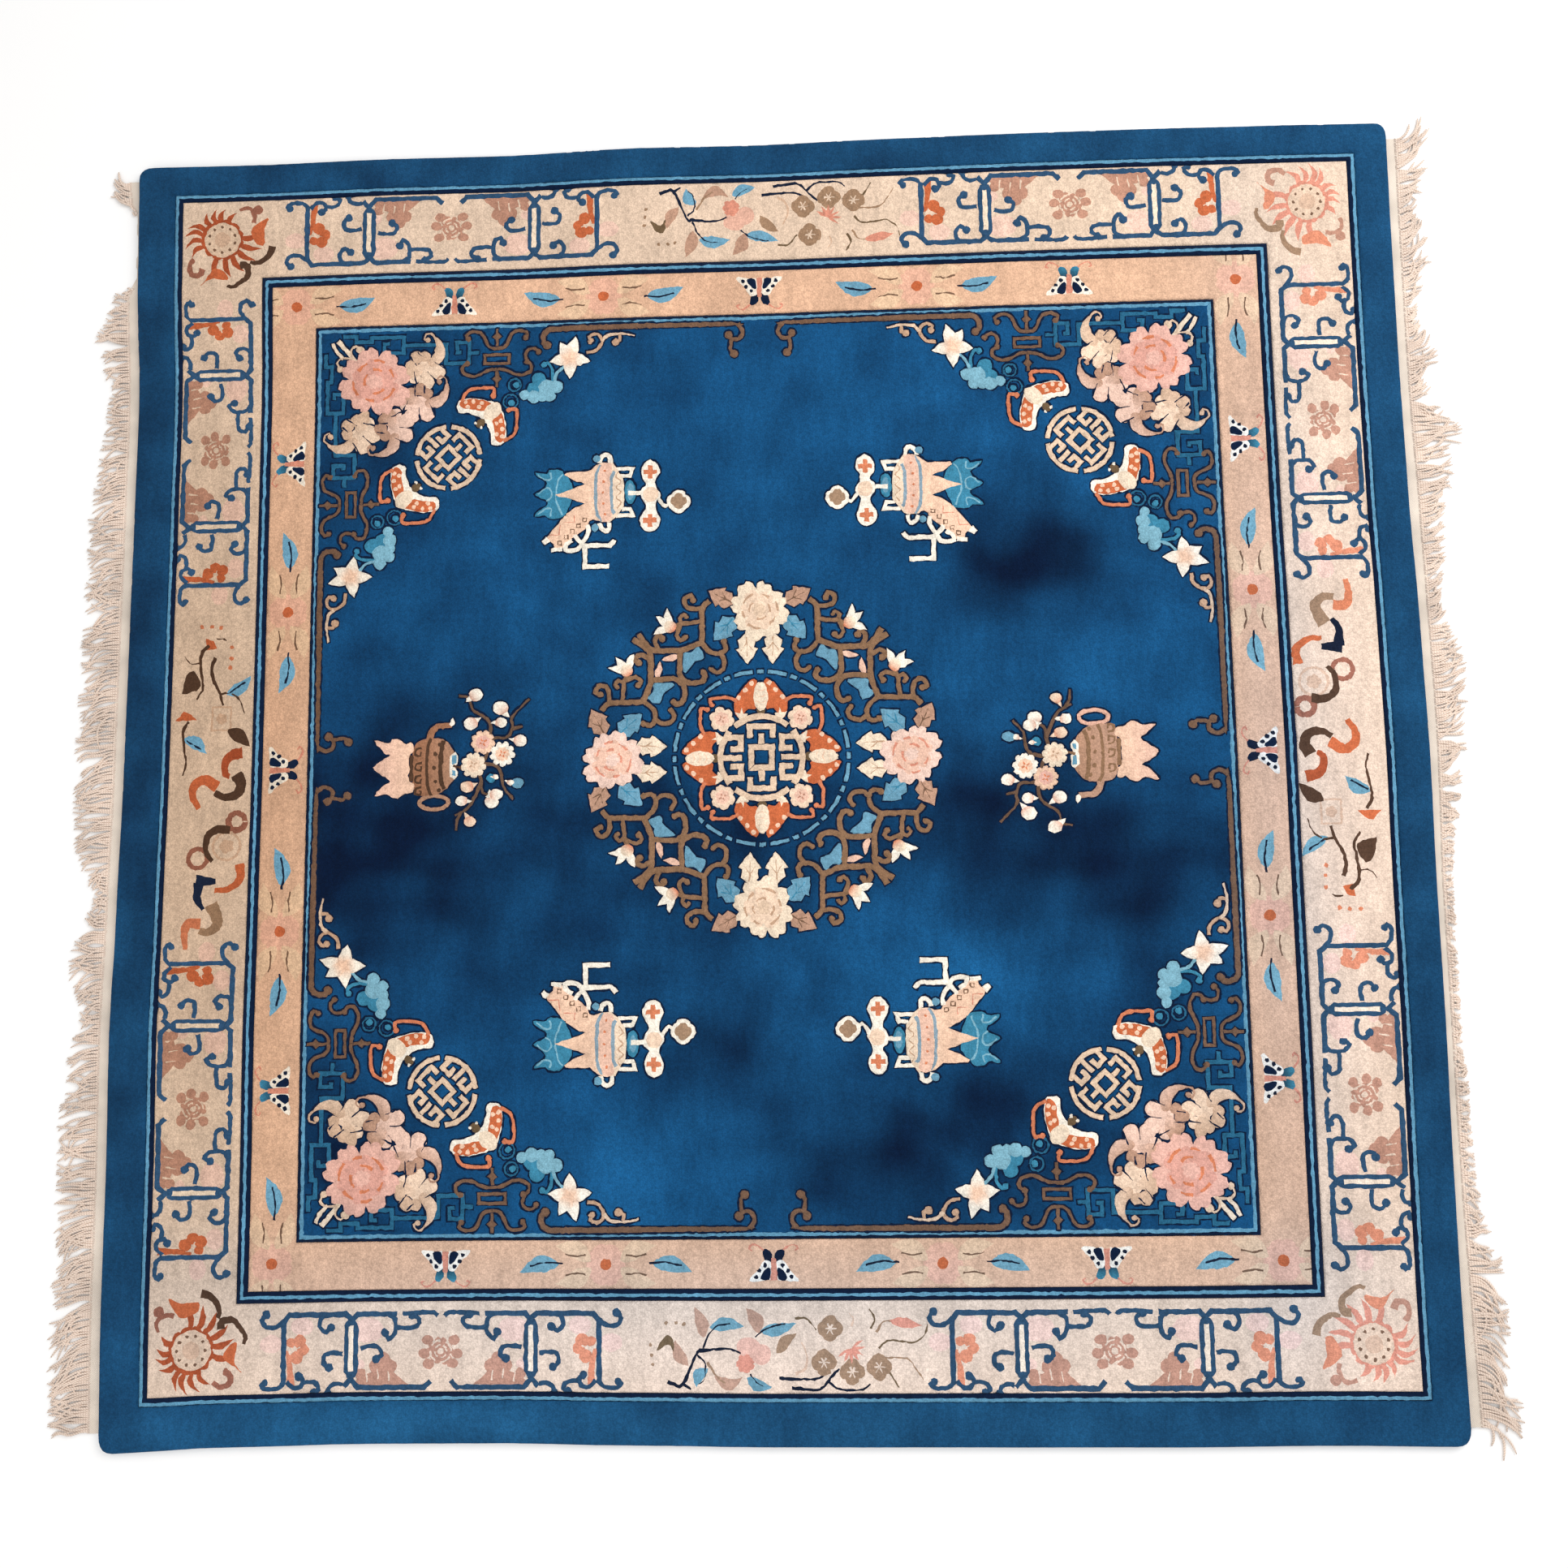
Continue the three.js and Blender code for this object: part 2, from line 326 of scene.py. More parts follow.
def butterfly(body, fore, hind):
    """A butterfly with its wings spread, its head to +Y."""
    half = [
        patch(blob(3 + 22j, 12 + 30j, 20 + 26j, 14 + 8j, 4 + 2j), fore, (10 + 30j, 6 + 4j, "ink")),
        patch(blob(4 + 6j, 18 + 10j, 28 - 6j, 44 - 22j, 40 - 27j, 18 - 24j, 4 - 22j), "ivory"),
        plain(blob(6 - 4j, 13 - 3j, 24 - 18j, 20 - 24j, 9 - 23j), hind),
        *(plain(disc(z, 4), "ink") for z in (16 + 2j, 26 - 7j, 32 - 18j)),
        *curl([18 + 28j, 28 + 36j, 38 + 38j, 44 + 31j, 38 + 28j], 3, "rose", 0),
    ]
    return [*mirrored(half), plain(ribbon([14j, 0, -24j], 8, 12), body)]


# Frets and emblems

def round_emblem(radius):
    """A round fret, the same above and below, left and right, around a square."""
    side = [
        ribbon(arc(0.93, -40, 40), 0.13),
        ribbon([0.78 + 0.46j, 0.46 + 0.46j, 0.46 + 0.2j, 0.7 + 0.2j], 0.13, square=True),
        ribbon([0.78 - 0.46j, 0.46 - 0.46j, 0.46 - 0.2j, 0.7 - 0.2j], 0.13, square=True),
        ribbon([0.44, 0.86], 0.13, square=True),
    ]
    cap = [
        ribbon(arc(0.93, 50, 130), 0.13),
        ribbon([0.26 + 0.44j, 0.26 + 0.7j, -0.26 + 0.7j, -0.26 + 0.44j], 0.13, square=True),
        ribbon([0.3j, 0.54j], 0.13, square=True),
    ]
    half = side + cap
    lines = half + [-line for line in half] + [square_ring(0, 0.46, 0.46, 0.13)]
    return [patch(line * radius, "tan_cream") for line in lines]


def long_emblem():
    """A tall pair of scrolls around a small frame."""
    half = [
        *curl([-14j, 11 - 15j, 19 - 22j, 24 - 34j, 32 - 46j, 48 - 49j, 60 - 42j, 56 - 34j], 6, "bark", 5.5),
        *curl([28j, 14 + 29j, 26 + 34j, 38 + 40j, 54 + 40j, 67 + 32j, 66 + 20j, 58 + 15j], 6, "bark", 5.5),
    ]
    posts = [
        patch(ribbon([y1 * 1j, y2 * 1j], 5.5, square=True), "bark") for y1, y2 in ((-54, -18), (32, 64))
    ]
    spots = [patch(sharp(-9 + y * 1j, (y - 9) * 1j, 9 + y * 1j, (y + 9) * 1j), "bark") for y in (-38, 48)]
    return [*mirrored(half), *posts, *spots, patch(square_ring(8j, 48, 17, 5.5), "bark")]


# The field

CORNER_KEYS = [
    [43 + 9j, 69 + 9j, 69 + 21j, 100 + 21j, 100 + 13j, 163 + 13j, 163 + 45j, 125 + 45j, 125 + 26j, 136 + 26j],
    [163 + 30j, 247 + 30j, 247 + 69j, 292 + 69j, 292 + 27j, 268 + 27j, 268 + 47j, 277 + 47j],
    [292 + 49j, 311 + 49j],
]
CLUSTER = [
    (428 + 106j, 14, "teal"), (420 + 128j, 16, "teal"), (400 + 137j, 10, "haze"), (418 + 141j, 13, "haze"),
    (434 + 140j, 11, "haze"), (444 + 124j, 17, "haze"), (450 + 140j, 11, "haze"), (463 + 122j, 12, "haze"),
]


def corner_side():
    """One side of a corner ornament, p along the edge and q away from it, as p + qj."""
    keys = [patch(ribbon(line, 7.5, square=True), "teal_dim") for line in CORNER_KEYS]
    cluster = [patch(disc(c, r), yarn) for c, r, yarn in CLUSTER]
    coils = [
        patch(ribbon(disc(c, r), 3.2, closed=True), "teal_dim")
        for c, r in ((381 + 116j, 12), (373 + 149j, 14))
    ]
    buds = [patch(disc(c, 6.5), "teal") for c in (384 + 116j, 375 + 151j)]
    hook = curl([455 + 118j, 455 + 98j, 453 + 84j, 445 + 74j, 438 + 77j], 6, "teal", 6)
    stem = [patch(ribbon([478 + 80j, 463 + 95j, 457 + 114j], 5.5), "haze")]
    scrolls = [
        *curl([520 + 56j, 538 + 53j, 550 + 37j, 548 + 25j, 537 + 19j, 526 + 24j, 529 + 33j], 6, "tan", 6.5),
        *curl([551 + 34j, 562 + 23j, 588 + 20j, 614 + 25j], 7, "tan_cream", tip=3.5),
        *curl([585 + 22j, 586 + 33j, 577 + 37j], 6, "tan", 7.5),
    ]
    line = [
        *curl([620 + 6j, 470 + 6j, 446 + 8j, 437 + 18j, 437 + 32j, 444 + 38j], 10, "bark", 8),
        *curl([560 + 6j, 800 + 7j, 816 + 10j, 823 + 24j, 816 + 37j, 802 + 37j, 796 + 29j], 10, "bark", 8,
              tip=7),
        *curl([801 + 38j, 799 + 58j, 806 + 67j], 6.5, "bark", 8),
    ]
    swirl = curl([404 + 68j, 402 + 54j, 408 + 45j, 420 + 44j, 427 + 51j], 5.5, "bark", 5.5)
    return [
        *keys,
        *line,
        *scrolls,
        *coils,
        *buds,
        *hook,
        *cluster,
        *stem,
        *turned(star_flower(), placed(488 + 66j)),
        *turned(long_emblem(), placed(346 + 55j)),
        *swirl,
        *turned(corner_bat(), placed(340 + 165j, turn=-45)),
        *turned(curled_leaf("cream_warm", "tan_pale"), placed(162 + 92j, turn=-38, flip=True)),
        *turned(curled_leaf("blush_pale", "mauve_tan"), placed(152 + 132j, flip=True)),
    ]


def corner_ornament():
    """The ornament in one corner of the field, with the corner at the origin."""
    side = corner_side()
    sprigs = [
        patch(ribbon([80 + 76j, 56 + 44j, 33 + 17j], 7, 9), "cream"),
        patch(ribbon([44 + 54j, 30 + 38j, 23 + 22j], 6, 7), "cream"),
        *curl([66 + 54j, 42 + 52j, 31 + 62j, 37 + 74j], 4, "tan_cream", 6.5),
        *curl([62 + 52j, 58 + 38j, 68 + 28j, 77 + 36j], 4, "tan_cream", 8),
    ]
    flower = peony(69, "pink", "pink_deep", "salmon", "pink")
    return [
        *sprigs,
        *side,
        *turned(side, lambda z: 1j * np.conj(z)),
        *turned(round_emblem(66), placed(253 + 257j, turn=45)),
        *turned(flower, placed(107 + 102j)),
    ]


SCROLLWORK = [
    ([-112 + 224j, -111 + 262j, -110 + 292j, -96 + 306j], 10, 0),
    ([-110 + 292j, -128 + 291j, -143 + 298j, -144 + 312j, -132 + 317j, -128 + 308j], 8.5, 6),
    ([-108 + 268j, -128 + 264j, -152 + 262j, -170 + 252j], 8, 0),
    ([-150 + 263j, -154 + 273j, -146 + 280j, -141 + 275j], 7, 4),
    ([-153 + 260j, -160 + 240j, -152 + 230j, -144 + 235j], 7.5, 6),
    ([-112 + 226j, -130 + 218j, -152 + 211j, -180 + 211j, -206 + 212j, -222 + 226j, -234 + 245j], 11, 0),
    ([-196 + 214j, -203 + 230j, -194 + 242j, -188 + 234j], 9, 7),
    ([-112 + 224j, -96 + 206j, -76 + 203j, -66 + 212j, -70 + 226j], 9, 6),
    ([-78 + 203j, -69 + 190j, -72 + 172j, -84 + 166j, -94 + 172j], 8.5, 5),
    ([-153 + 212j, -155 + 185j, -154 + 162j, -138 + 147j, -114 + 148j, -106 + 158j, -110 + 167j], 10, 6),
]


def medallion_octant():
    """One eighth of the round scrollwork, left of the upper flower."""
    fills = [
        patch(blob(-118 + 217j, -108 + 195j, -126 + 187j, -146 + 166j, -147 + 204j, -132 + 206j), "sky"),
        patch(leaf(-156 + 201j, -190 + 193j, 13, 2), "blush"),
    ]
    return [
        *fills,
        *(p for line, width, knob in SCROLLWORK for p in curl(line, width, "bark_light", knob)),
        *spiked_leaf(-50 + 300j, -99 + 326j, 40, "mauve_tan", "bark"),
        *spiked_leaf(-50 + 272j, -88 + 228j, 42, "sky", "teal"),
        *turned(lotus_bud(), placed(-168 + 254j, turn=58)),
        *spiked_leaf(-26 + 240j, -24 + 180j, 40, "cream", "tan"),
    ]


def dashed_ring(radius, dashes):
    """A broken light ring of long and short dashes."""
    step = 360 / dashes
    long_dash = [ribbon(arc(radius, a + 0.22 * step, a + 0.78 * step), 7, 6)
                 for a in np.arange(dashes) * step]
    short_dash = [ribbon(arc(radius, a - 0.09 * step, a + 0.09 * step), 7) for a in np.arange(dashes) * step]
    return [patch(outline, "sky") for outline in long_dash + short_dash]


def medallion():
    """The round centre: a fret, bats and flowers in a dashed ring, and a wreath of peonies and scrolls."""
    octant = medallion_octant()
    quarter = octant + turned(octant, lambda z: -1j * np.conj(z))
    half = mirrored(quarter)
    parts = half + turned(half, np.conj)
    cream_flower = peony(57, "cream", "cream_warm", "tan", "tan_cream")
    pink_flower = peony(57, "pink_pale", "blush", "rose", "pink_pale")
    for k, flower in enumerate([pink_flower, cream_flower] * 2):
        parts += turned(flower, placed(285 * 1j**k, turn=90 * k))
        parts += turned(medallion_bat(), placed(118 * 1j**k, turn=90 * k - 90))
        parts += turned(blossom(24, "cream_warm", "blush", "mauve"),
                        placed(106 * cmath.exp(1j * (k + 0.5) * np.pi / 2)))
    return parts + dashed_ring(166, 16) + round_emblem(85)


def censer():
    """A footed incense burner with its stand, lid and a tied scroll, lying on its side."""
    cloud = blob(
        -103 + 97j, -82 + 94j, -76 + 101j, -56 + 101j, -48 + 92j, -38 + 82j, -32 + 68j, -34 + 40j,
        -42 + 22j, -50 + 8j, -72 + 5j, -84 + 12j, -104 + 11j, -97 + 22j, -82 + 30j, -80 + 40j,
        -92 + 46j, -104 + 54j, -90 + 62j, -82 + 72j, -84 + 80j, -97 + 88j,
    )
    veins = [
        [-50 + 92j, -58 + 82j, -62 + 66j, -64 + 52j, -62 + 38j, -56 + 24j, -52 + 12j],
        [-98 + 92j, -84 + 82j, -72 + 84j, -74 + 96j],
        [-98 + 54j, -82 + 66j, -72 + 60j, -73 + 46j, -82 + 41j],
        [-98 + 14j, -84 + 24j, -72 + 24j, -74 + 10j],
    ]
    body = sharp(
        -47 + 92j, -44 + 96j, 0 + 97j, 14 + 108j, 26 + 113j, 46 + 112j, 52 + 104j, 66 + 80j, 68 + 52j,
        66 + 26j, 52 + 6j, 40 - 4j, 24 - 3j, 8 + 2j, -4 - 2j, -30 + 2j, -44 + 8j, -44 + 14j, -24 + 27j,
        -8 + 33j,
        -36 + 44j, -65 + 52j, -36 + 62j, -8 + 72j, -30 + 80j,
    )
    stripes = [
        plain(ribbon([24 + 108j, 15 + 92j, 13 + 56j, 15 + 16j, 25 - 2j], 6), "haze_grey"),
        plain(blob(28 + 112j, 44 + 108j, 42 + 80j, 42 + 30j, 44 + 4j, 28 - 2j, 19 + 16j, 17 + 56j,
                   19 + 92j), "blush"),
        plain(ribbon([49 + 95j, 44 + 84j, 43 + 56j, 44 + 22j, 49 + 12j], 6), "haze_grey"),
        plain(ribbon([57 + 94j, 52 + 84j, 62 + 74j, 52 + 64j, 62 + 54j, 52 + 44j, 62 + 34j, 54 + 22j], 2),
              "tan"),
        *(plain(disc(z, 2.6), "salmon") for z in (31 + 96j, 28 + 75j, 27 + 54j, 28 + 32j, 31 + 11j)),
    ]
    handles = [
        *(
            patch(ribbon([52 + a * 1j, 84 + a * 1j, 79 + b * 1j, 62 + b * 1j], 7, square=True), "ivory")
            for a, b in ((100, 86), (8, 21))
        ),
        patch(ribbon([20 + 112j, 22 + 122j, 31 + 129j, 40 + 124j, 41 + 112j], 8), "ivory"),
        patch(ribbon([20 - 6j, 23 - 15j, 31 - 21j, 38 - 17j, 39 - 4j], 8), "ivory"),
        patch(disc(15 + 121j, 7.5), "sky"),
        patch(disc(11 - 14j, 7.5), "sky"),
    ]
    lid = [
        patch(disc(79 + 54j, 24, 0.46), "teal"),
        plain(disc(80 + 54j, 16, 0.42), "sky"),
        patch(ribbon([76 + 52j, 100 + 52j], 8), "ivory"),
    ]
    jewels = [
        patch(blob(118 + 116j, 132 + 108j, 136 + 90j, 128 + 76j, 129 + 62j, 138 + 46j, 128 + 30j,
                   130 + 14j, 136 - 2j,
                   130 - 18j, 117 - 25j, 103 - 18j, 97 - 2j, 104 + 14j, 110 + 26j, 101 + 42j, 100 + 58j,
                   110 + 68j, 103 + 80j, 101 + 96j, 107 + 110j), "ivory"),
        plain(disc(119 + 48j, 15), "cream_warm"),
        *(
            plain(ribbon([c - 13 * ray, c + 13 * ray], 9), "salmon")
            for c in (118 + 92j, 117 - 3j)
            for ray in (1, 1j)
        ),
    ]
    pendant = [
        patch(ribbon([134 + 40j, 140 + 30j, 146 + 24j, 152 + 28j], 7, 5), "ivory"),
        patch(lobed(172 + 33j, 23, 4, 0.16, 45), "ivory"),
        plain(lobed(172 + 33j, 16, 4, 0.22, 45), "brown"),
    ]
    scroll = [
        patch(sharp(-46 + 12j, 2 + 2j, -4 - 12j, -26 - 30j, -46 - 44j, -52 - 54j, -66 - 54j, -68 - 44j,
                    -82 - 32j), "peach"),
        patch(ribbon([-78 - 34j, -88 - 42j], 13, 9), "ivory"),
        patch(ribbon([-52 - 54j, -72 - 56j], 9, 7), "ivory"),
        *(plain(square_ring(-8 + 1j - k * (12 + 11j), 7, 7, 1.8), "bark") for k in range(5)),
        plain(ribbon([-48 - 3j, -27 - 3j, -28 + 10j], 1.8, square=True), "rose"),
        plain(ribbon([-76 - 27j, -57 - 27j, -55 - 7j], 1.8, square=True), "rose"),
    ]
    cords = [
        patch(ribbon([-3 - 8j, -1 - 20j, -6 - 32j, -14 - 42j, -22 - 36j, -28 - 27j], 8), "ivory"),
        patch(ribbon([-14 - 44j, -22 - 56j, -34 - 58j, -46 - 56j, -44 - 46j, -32 - 38j], 8), "ivory"),
        patch(ribbon([-14 - 49j, 20 - 49j, 40 - 49j, 49 - 39j], 9.5, 8), "ivory"),
        patch(ribbon([-8 - 48j, -8 - 90j, 38 - 90j], 9, square=True), "ivory"),
    ]
    return [
        patch(cloud, "teal"),
        *(plain(ribbon(v, 3), "haze") for v in veins),
        *handles,
        patch(body, "peach", (0 + 50j, 70 + 50j, "cream")),
        *stripes,
        *lid,
        *jewels,
        *pendant,
        *scroll,
        *cords,
    ]


def teapot():
    """A squat pot on a cloud stand, holding a branch of plum blossom, lying on its side."""
    stand = blob(
        -75 + 20j, -50 + 15j, -36 + 23j, -22 + 19j, -14 + 12j, -6 + 16j, 0 + 12j, -2 - 4j, -9 - 10j, -8 - 34j,
        -8 - 58j, 2 - 62j, 0 - 78j, -10 - 80j, -18 - 82j, -28 - 90j, -40 - 88j, -50 - 82j, -73 - 84j,
        -56 - 66j,
        -44 - 58j, -54 - 50j, -76 - 32j, -56 - 14j, -44 - 8j, -56 - 3j,
    )
    pot = blob(2 + 8j, 16 + 20j, 36 + 22j, 56 + 20j, 72 + 6j, 80 - 12j, 81 - 34j, 78 - 54j, 64 - 72j,
               48 - 82j, 28 - 86j,
               10 - 84j, 0 - 66j, -4 - 30j)
    bands = [
        plain(ribbon([34 + 22j, 28 + 6j, 26 - 30j, 28 - 66j, 34 - 86j], 6), "umber"),
        plain(ribbon([58 + 18j, 54 + 2j, 52 - 30j, 54 - 60j, 60 - 74j], 8), "umber"),
        patch(ribbon([-4 - 8j, -4 - 58j], 8), "umber"),
        *(plain(ribbon([16 + (y + 6) * 1j, 6 + (y + 4) * 1j, 4 + (y - 6) * 1j, 14 + (y - 8) * 1j,
                        15 + y * 1j], 4), "umber")
          for y in (-2, -30, -54, -76)),
        *(plain(disc(z, 4), "umber") for z in (50 + 10j, 42 - 8j, 40 - 34j, 43 - 60j, 50 - 77j)),
    ]
    mouth = [
        patch(sharp(69 - 12j, 78 - 4j, 85 - 10j, 84 - 28j, 78 - 32j, 84 - 42j, 84 - 50j, 78 - 57j,
                    70 - 50j), "ivory"),
        plain(sharp(74 - 10j, 82 - 10j, 82 - 26j, 74 - 28j), "sky"),
        plain(sharp(74 - 38j, 80 - 40j, 82 - 50j, 74 - 50j), "sky"),
        patch(ribbon([76 - 30j, 88 - 34j], 6, 4), "umber"),
    ]
    spout = [
        patch(ribbon([30 + 14j, 34 + 34j, 46 + 45j, 60 + 46j, 73 + 46j], 14, 9), "clay"),
        patch(leaf(72 + 44j, 75 + 61j, 10), "ivory"),
    ]
    handle = [patch(ribbon(disc(40 - 99j, 13, 2.1), 7.5, closed=True), "clay_light")]
    branches = [
        [88 - 34j, 130 - 26j, 150 + 18j, 178 + 22j, 188 + 44j, 187 + 60j, 219 + 94j],
        [146 + 20j, 145 + 48j, 130 + 64j, 112 + 76j, 104 + 98j, 86 + 102j],
        [188 + 38j, 206 + 42j],
        [130 - 26j, 160 - 34j, 168 - 56j, 172 - 74j, 190 - 96j],
        [124 - 40j, 129 - 62j, 132 - 82j, 150 - 88j],
        [128 - 62j, 116 - 92j, 102 - 112j, 80 - 124j],
        [92 - 118j, 84 - 132j, 82 - 152j],
    ]
    buds = [
        (118 + 104j, 12, 215, "ivory"), (165 + 78j, 13, -50, "ivory"), (108 + 49j, 12, 30, "ivory"),
        (166 + 50j, 10, 180, "ivory"), (202 + 15j, 11, 170, "ivory"), (102 - 71j, 11, 20, "cream_warm"),
        (92 - 97j, 10, 0, "ivory"), (108 - 136j, 10, 120, "cream_warm"), (149 - 100j, 12, 100, "ivory"),
        (158 - 86j, 11, 190, "ivory"), (156 - 53j, 5, 180, "ivory"), (184 - 64j, 6, 160, "ivory"),
    ]
    bud_shapes = [
        p
        for c, r, a, yarn in buds
        for p in (
            patch(leaf(c, c + 2.0 * r * cmath.exp(1j * math.radians(a)), 0.9 * r), yarn, None),
            patch(disc(c, r, 1.12), yarn, (c, c + 1.5 * r * cmath.exp(1j * math.radians(a)), "salmon")),
        )
    ]
    leaves = [patch(disc(147 - 55j, 9), "teal"), patch(disc(198 - 65j, 10, 1.2), "sky")]
    return [
        *(patch(ribbon(line, 7, 4), "bark_dark") for line in branches),
        *leaves,
        *bud_shapes,
        *handle,
        *spout,
        patch(pot, "clay", (20 - 30j, 80 - 30j, "clay_light")),
        *bands,
        *mouth,
        patch(stand, "blush", (-60 - 30j, 0 - 30j, "peach")),
        *turned(blossom(23, "peach", "pink", "salmon", 9), placed(132 + 13j)),
        *turned(blossom(24, "cream", "cream_warm", "tan", 9), placed(114 - 30j)),
        *turned(blossom(24, "ivory", "peach", "salmon", 9), placed(169 - 10j)),
    ]


# The borders

PANEL_CURLS = [
    ([146 + 3j, 128 - 1j, 112 + 2j, 108 + 15j, 118 + 22j], 7),
    ([178 + 12j, 194 + 10j, 210 + 13j, 213 + 28j, 203 + 36j], 7),
    ([196 - 57j, 216 - 54j, 221 - 38j, 211 - 27j, 200 - 35j], 7),
    ([96 - 57j, 84 - 48j, 84 - 24j, 96 - 14j, 102 - 25j], 7),
    ([84 - 34j, 62 - 33j, 44 - 36j, 40 - 48j, 52 - 56j], 7),
    ([280 + 58j, 268 + 70j, 254 + 68j, 250 + 56j, 258 + 50j], 7),
    ([252 + 62j, 238 + 60j, 226 + 64j, 222 + 74j, 230 + 78j], 6),
    ([178 + 66j, 190 + 64j, 202 + 70j, 205 + 80j], 6),
    ([284 + 60j, 296 + 70j, 318 + 71j, 326 + 64j, 320 + 60j], 6),
    ([284 - 50j, 300 - 38j, 318 - 38j, 326 - 50j, 318 - 60j], 7),
    ([70 - 58j, 40 - 60j, 14 - 60j, 6 - 54j], 0),
]


def fret_panel():
    """A long cartouche of blue scrolls with flowers hanging in it, its outer edge to +Y."""
    strokes = [
        patch(ribbon([18 + 60j, 30 + 72j, 150 + 72j, 163 + 58j, 163 - 50j, 174 - 58j, 276 - 58j,
                      286 - 46j, 286 + 62j],
                     9.6, square=True), "border_blue"),
        patch(ribbon([80 - 58j, 152 - 58j, 163 - 46j], 9.6, square=True), "border_blue"),
        patch(ribbon([160 + 52j, 176 + 70j], 9.6, square=True), "border_blue"),
        *(p for line, knob in PANEL_CURLS for p in curl(line, 8.2, "border_blue", 1.15 * knob)),
    ]
    slot = [
        patch(sharp(150 - 38j, 156 - 48j, 170 - 48j, 176 - 38j, 176 + 44j, 170 + 54j, 156 + 54j,
                    150 + 44j), "border_blue"),
        plain(sharp(158.5 - 37j, 167.5 - 37j, 167.5 + 43j, 158.5 + 43j), "cream"),
    ]
    hanging = [
        plain(sharp(58 + 68j, 158 + 68j, 148 + 50j, 124 + 44j, 104 + 34j, 84 + 46j), "mauve_pale"),
        *(plain(disc(z, r), "mauve_pale")
          for z, r in ((104 + 22j, 13), (92 + 34j, 13), (118 + 34j, 12), (144 + 48j, 10))),
        *(plain(ribbon([z, z + 3 - 18j], 3, 1.5), "sand") for z in (92 + 60j, 112 + 56j, 132 + 62j)),
    ]
    rust = [
        plain(ribbon([272 + 66j, 274 + 30j, 280 + 4j], 14, 7), "rust"),
        *(plain(disc(z, r), "rust")
          for z, r in ((262 + 16j, 12), (250 + 2j, 11), (256 - 12j, 12), (272 - 10j, 9))),
        plain(ribbon([282 + 2j, 266 + 2j, 256 - 2j], 3, 1.5), "sand"),
    ]
    stain = [plain(disc(z, r, 1.3), "blush_pale")
             for z, r in ((132 - 30j, 22), (252 - 38j, 16), (308 - 8j, 16), (150 + 30j, 10))]
    tan_flower = [
        plain(ruffled(0, 25, 5, 90), "mauve_pale"),
        *(plain(disc(z, 9, 1.2), "mauve_pale")
          for z in (-30 + 4j, 30 + 4j, -24 - 20j, 24 - 20j, -22 + 22j, 22 + 22j)),
        *(plain(ribbon(arc(r, a, a + 60), 3), "sand") for r in (11, 19) for a in (0, 90, 180, 270)),
        plain(disc(0, 6), "sand"),
    ]
    half = stain + hanging + rust + strokes + slot
    return turned(tan_flower, placed(8j)) + mirrored(half)


TILE_RAYS = [
    (118, 66, 10), (100, 66, 10), (84, 64, 10), (62, 62, 8), (160, 74, -12), (176, 78, -14),
    (194, 76, -14), (212, 72, -12),
]


def corner_tile():
    """A round seed head with flames in the corner of the main border, the corner away to -X +Y."""
    rays = []
    for angle, length, bow in TILE_RAYS:
        ray = cmath.exp(1j * math.radians(angle))
        rays.append(plain(leaf(30 * ray, length * ray, 11, bow), "rust_deep"))
    for angle in (8, -14, -34, -56, -76, -100):
        ray = cmath.exp(1j * math.radians(angle))
        rays.append(plain(leaf(30 * ray, 82 * ray, 12, -6), "rust_deep"))
    flames = [
        plain(blob(58 + 20j, 74 + 34j, 92 + 42j, 84 + 20j, 84 - 12j, 70 - 12j, 60 + 4j), "rust"),
        plain(blob(-18 - 62j, -36 - 88j, -42 - 94j, -20 - 80j, 12 - 84j, 8 - 70j, -6 - 60j), "rust"),
    ]
    dark = [
        plain(ribbon([36 - 54j, 50 - 56j, 52 - 76j, 42 - 86j, 24 - 98j, 10 - 96j], 15, 6), "umber"),
        plain(ribbon([56 - 48j, 70 - 50j, 84 - 44j, 96 - 32j, 100 - 16j], 7, 15), "umber"),
    ]
    buds = [
        plain(ribbon([34 + 60j, 44 + 64j, 56 + 62j, 64 + 46j, 62 + 32j], 7, 9), "mauve_deep"),
        plain(disc(70 + 60j, 10), "mauve_deep"),
        plain(ribbon([-56 - 40j, -64 - 52j, -60 - 70j, -44 - 72j, -38 - 60j], 9, 12), "mauve_deep"),
    ]
    seeds = [plain(disc(26 * cmath.exp(1j * math.radians(18 + 36 * k)), 3.2), "bark") for k in range(10)]
    head = [
        plain(lobed(0, 43, 12, 0.1), "rust_deep"),
        patch(lobed(0, 36, 8, 0.04, 22), "tan_cream"),
        plain(disc(0, 16), "tan_pale"),
        *seeds,
    ]
    return buds + rays + flames + dark + head


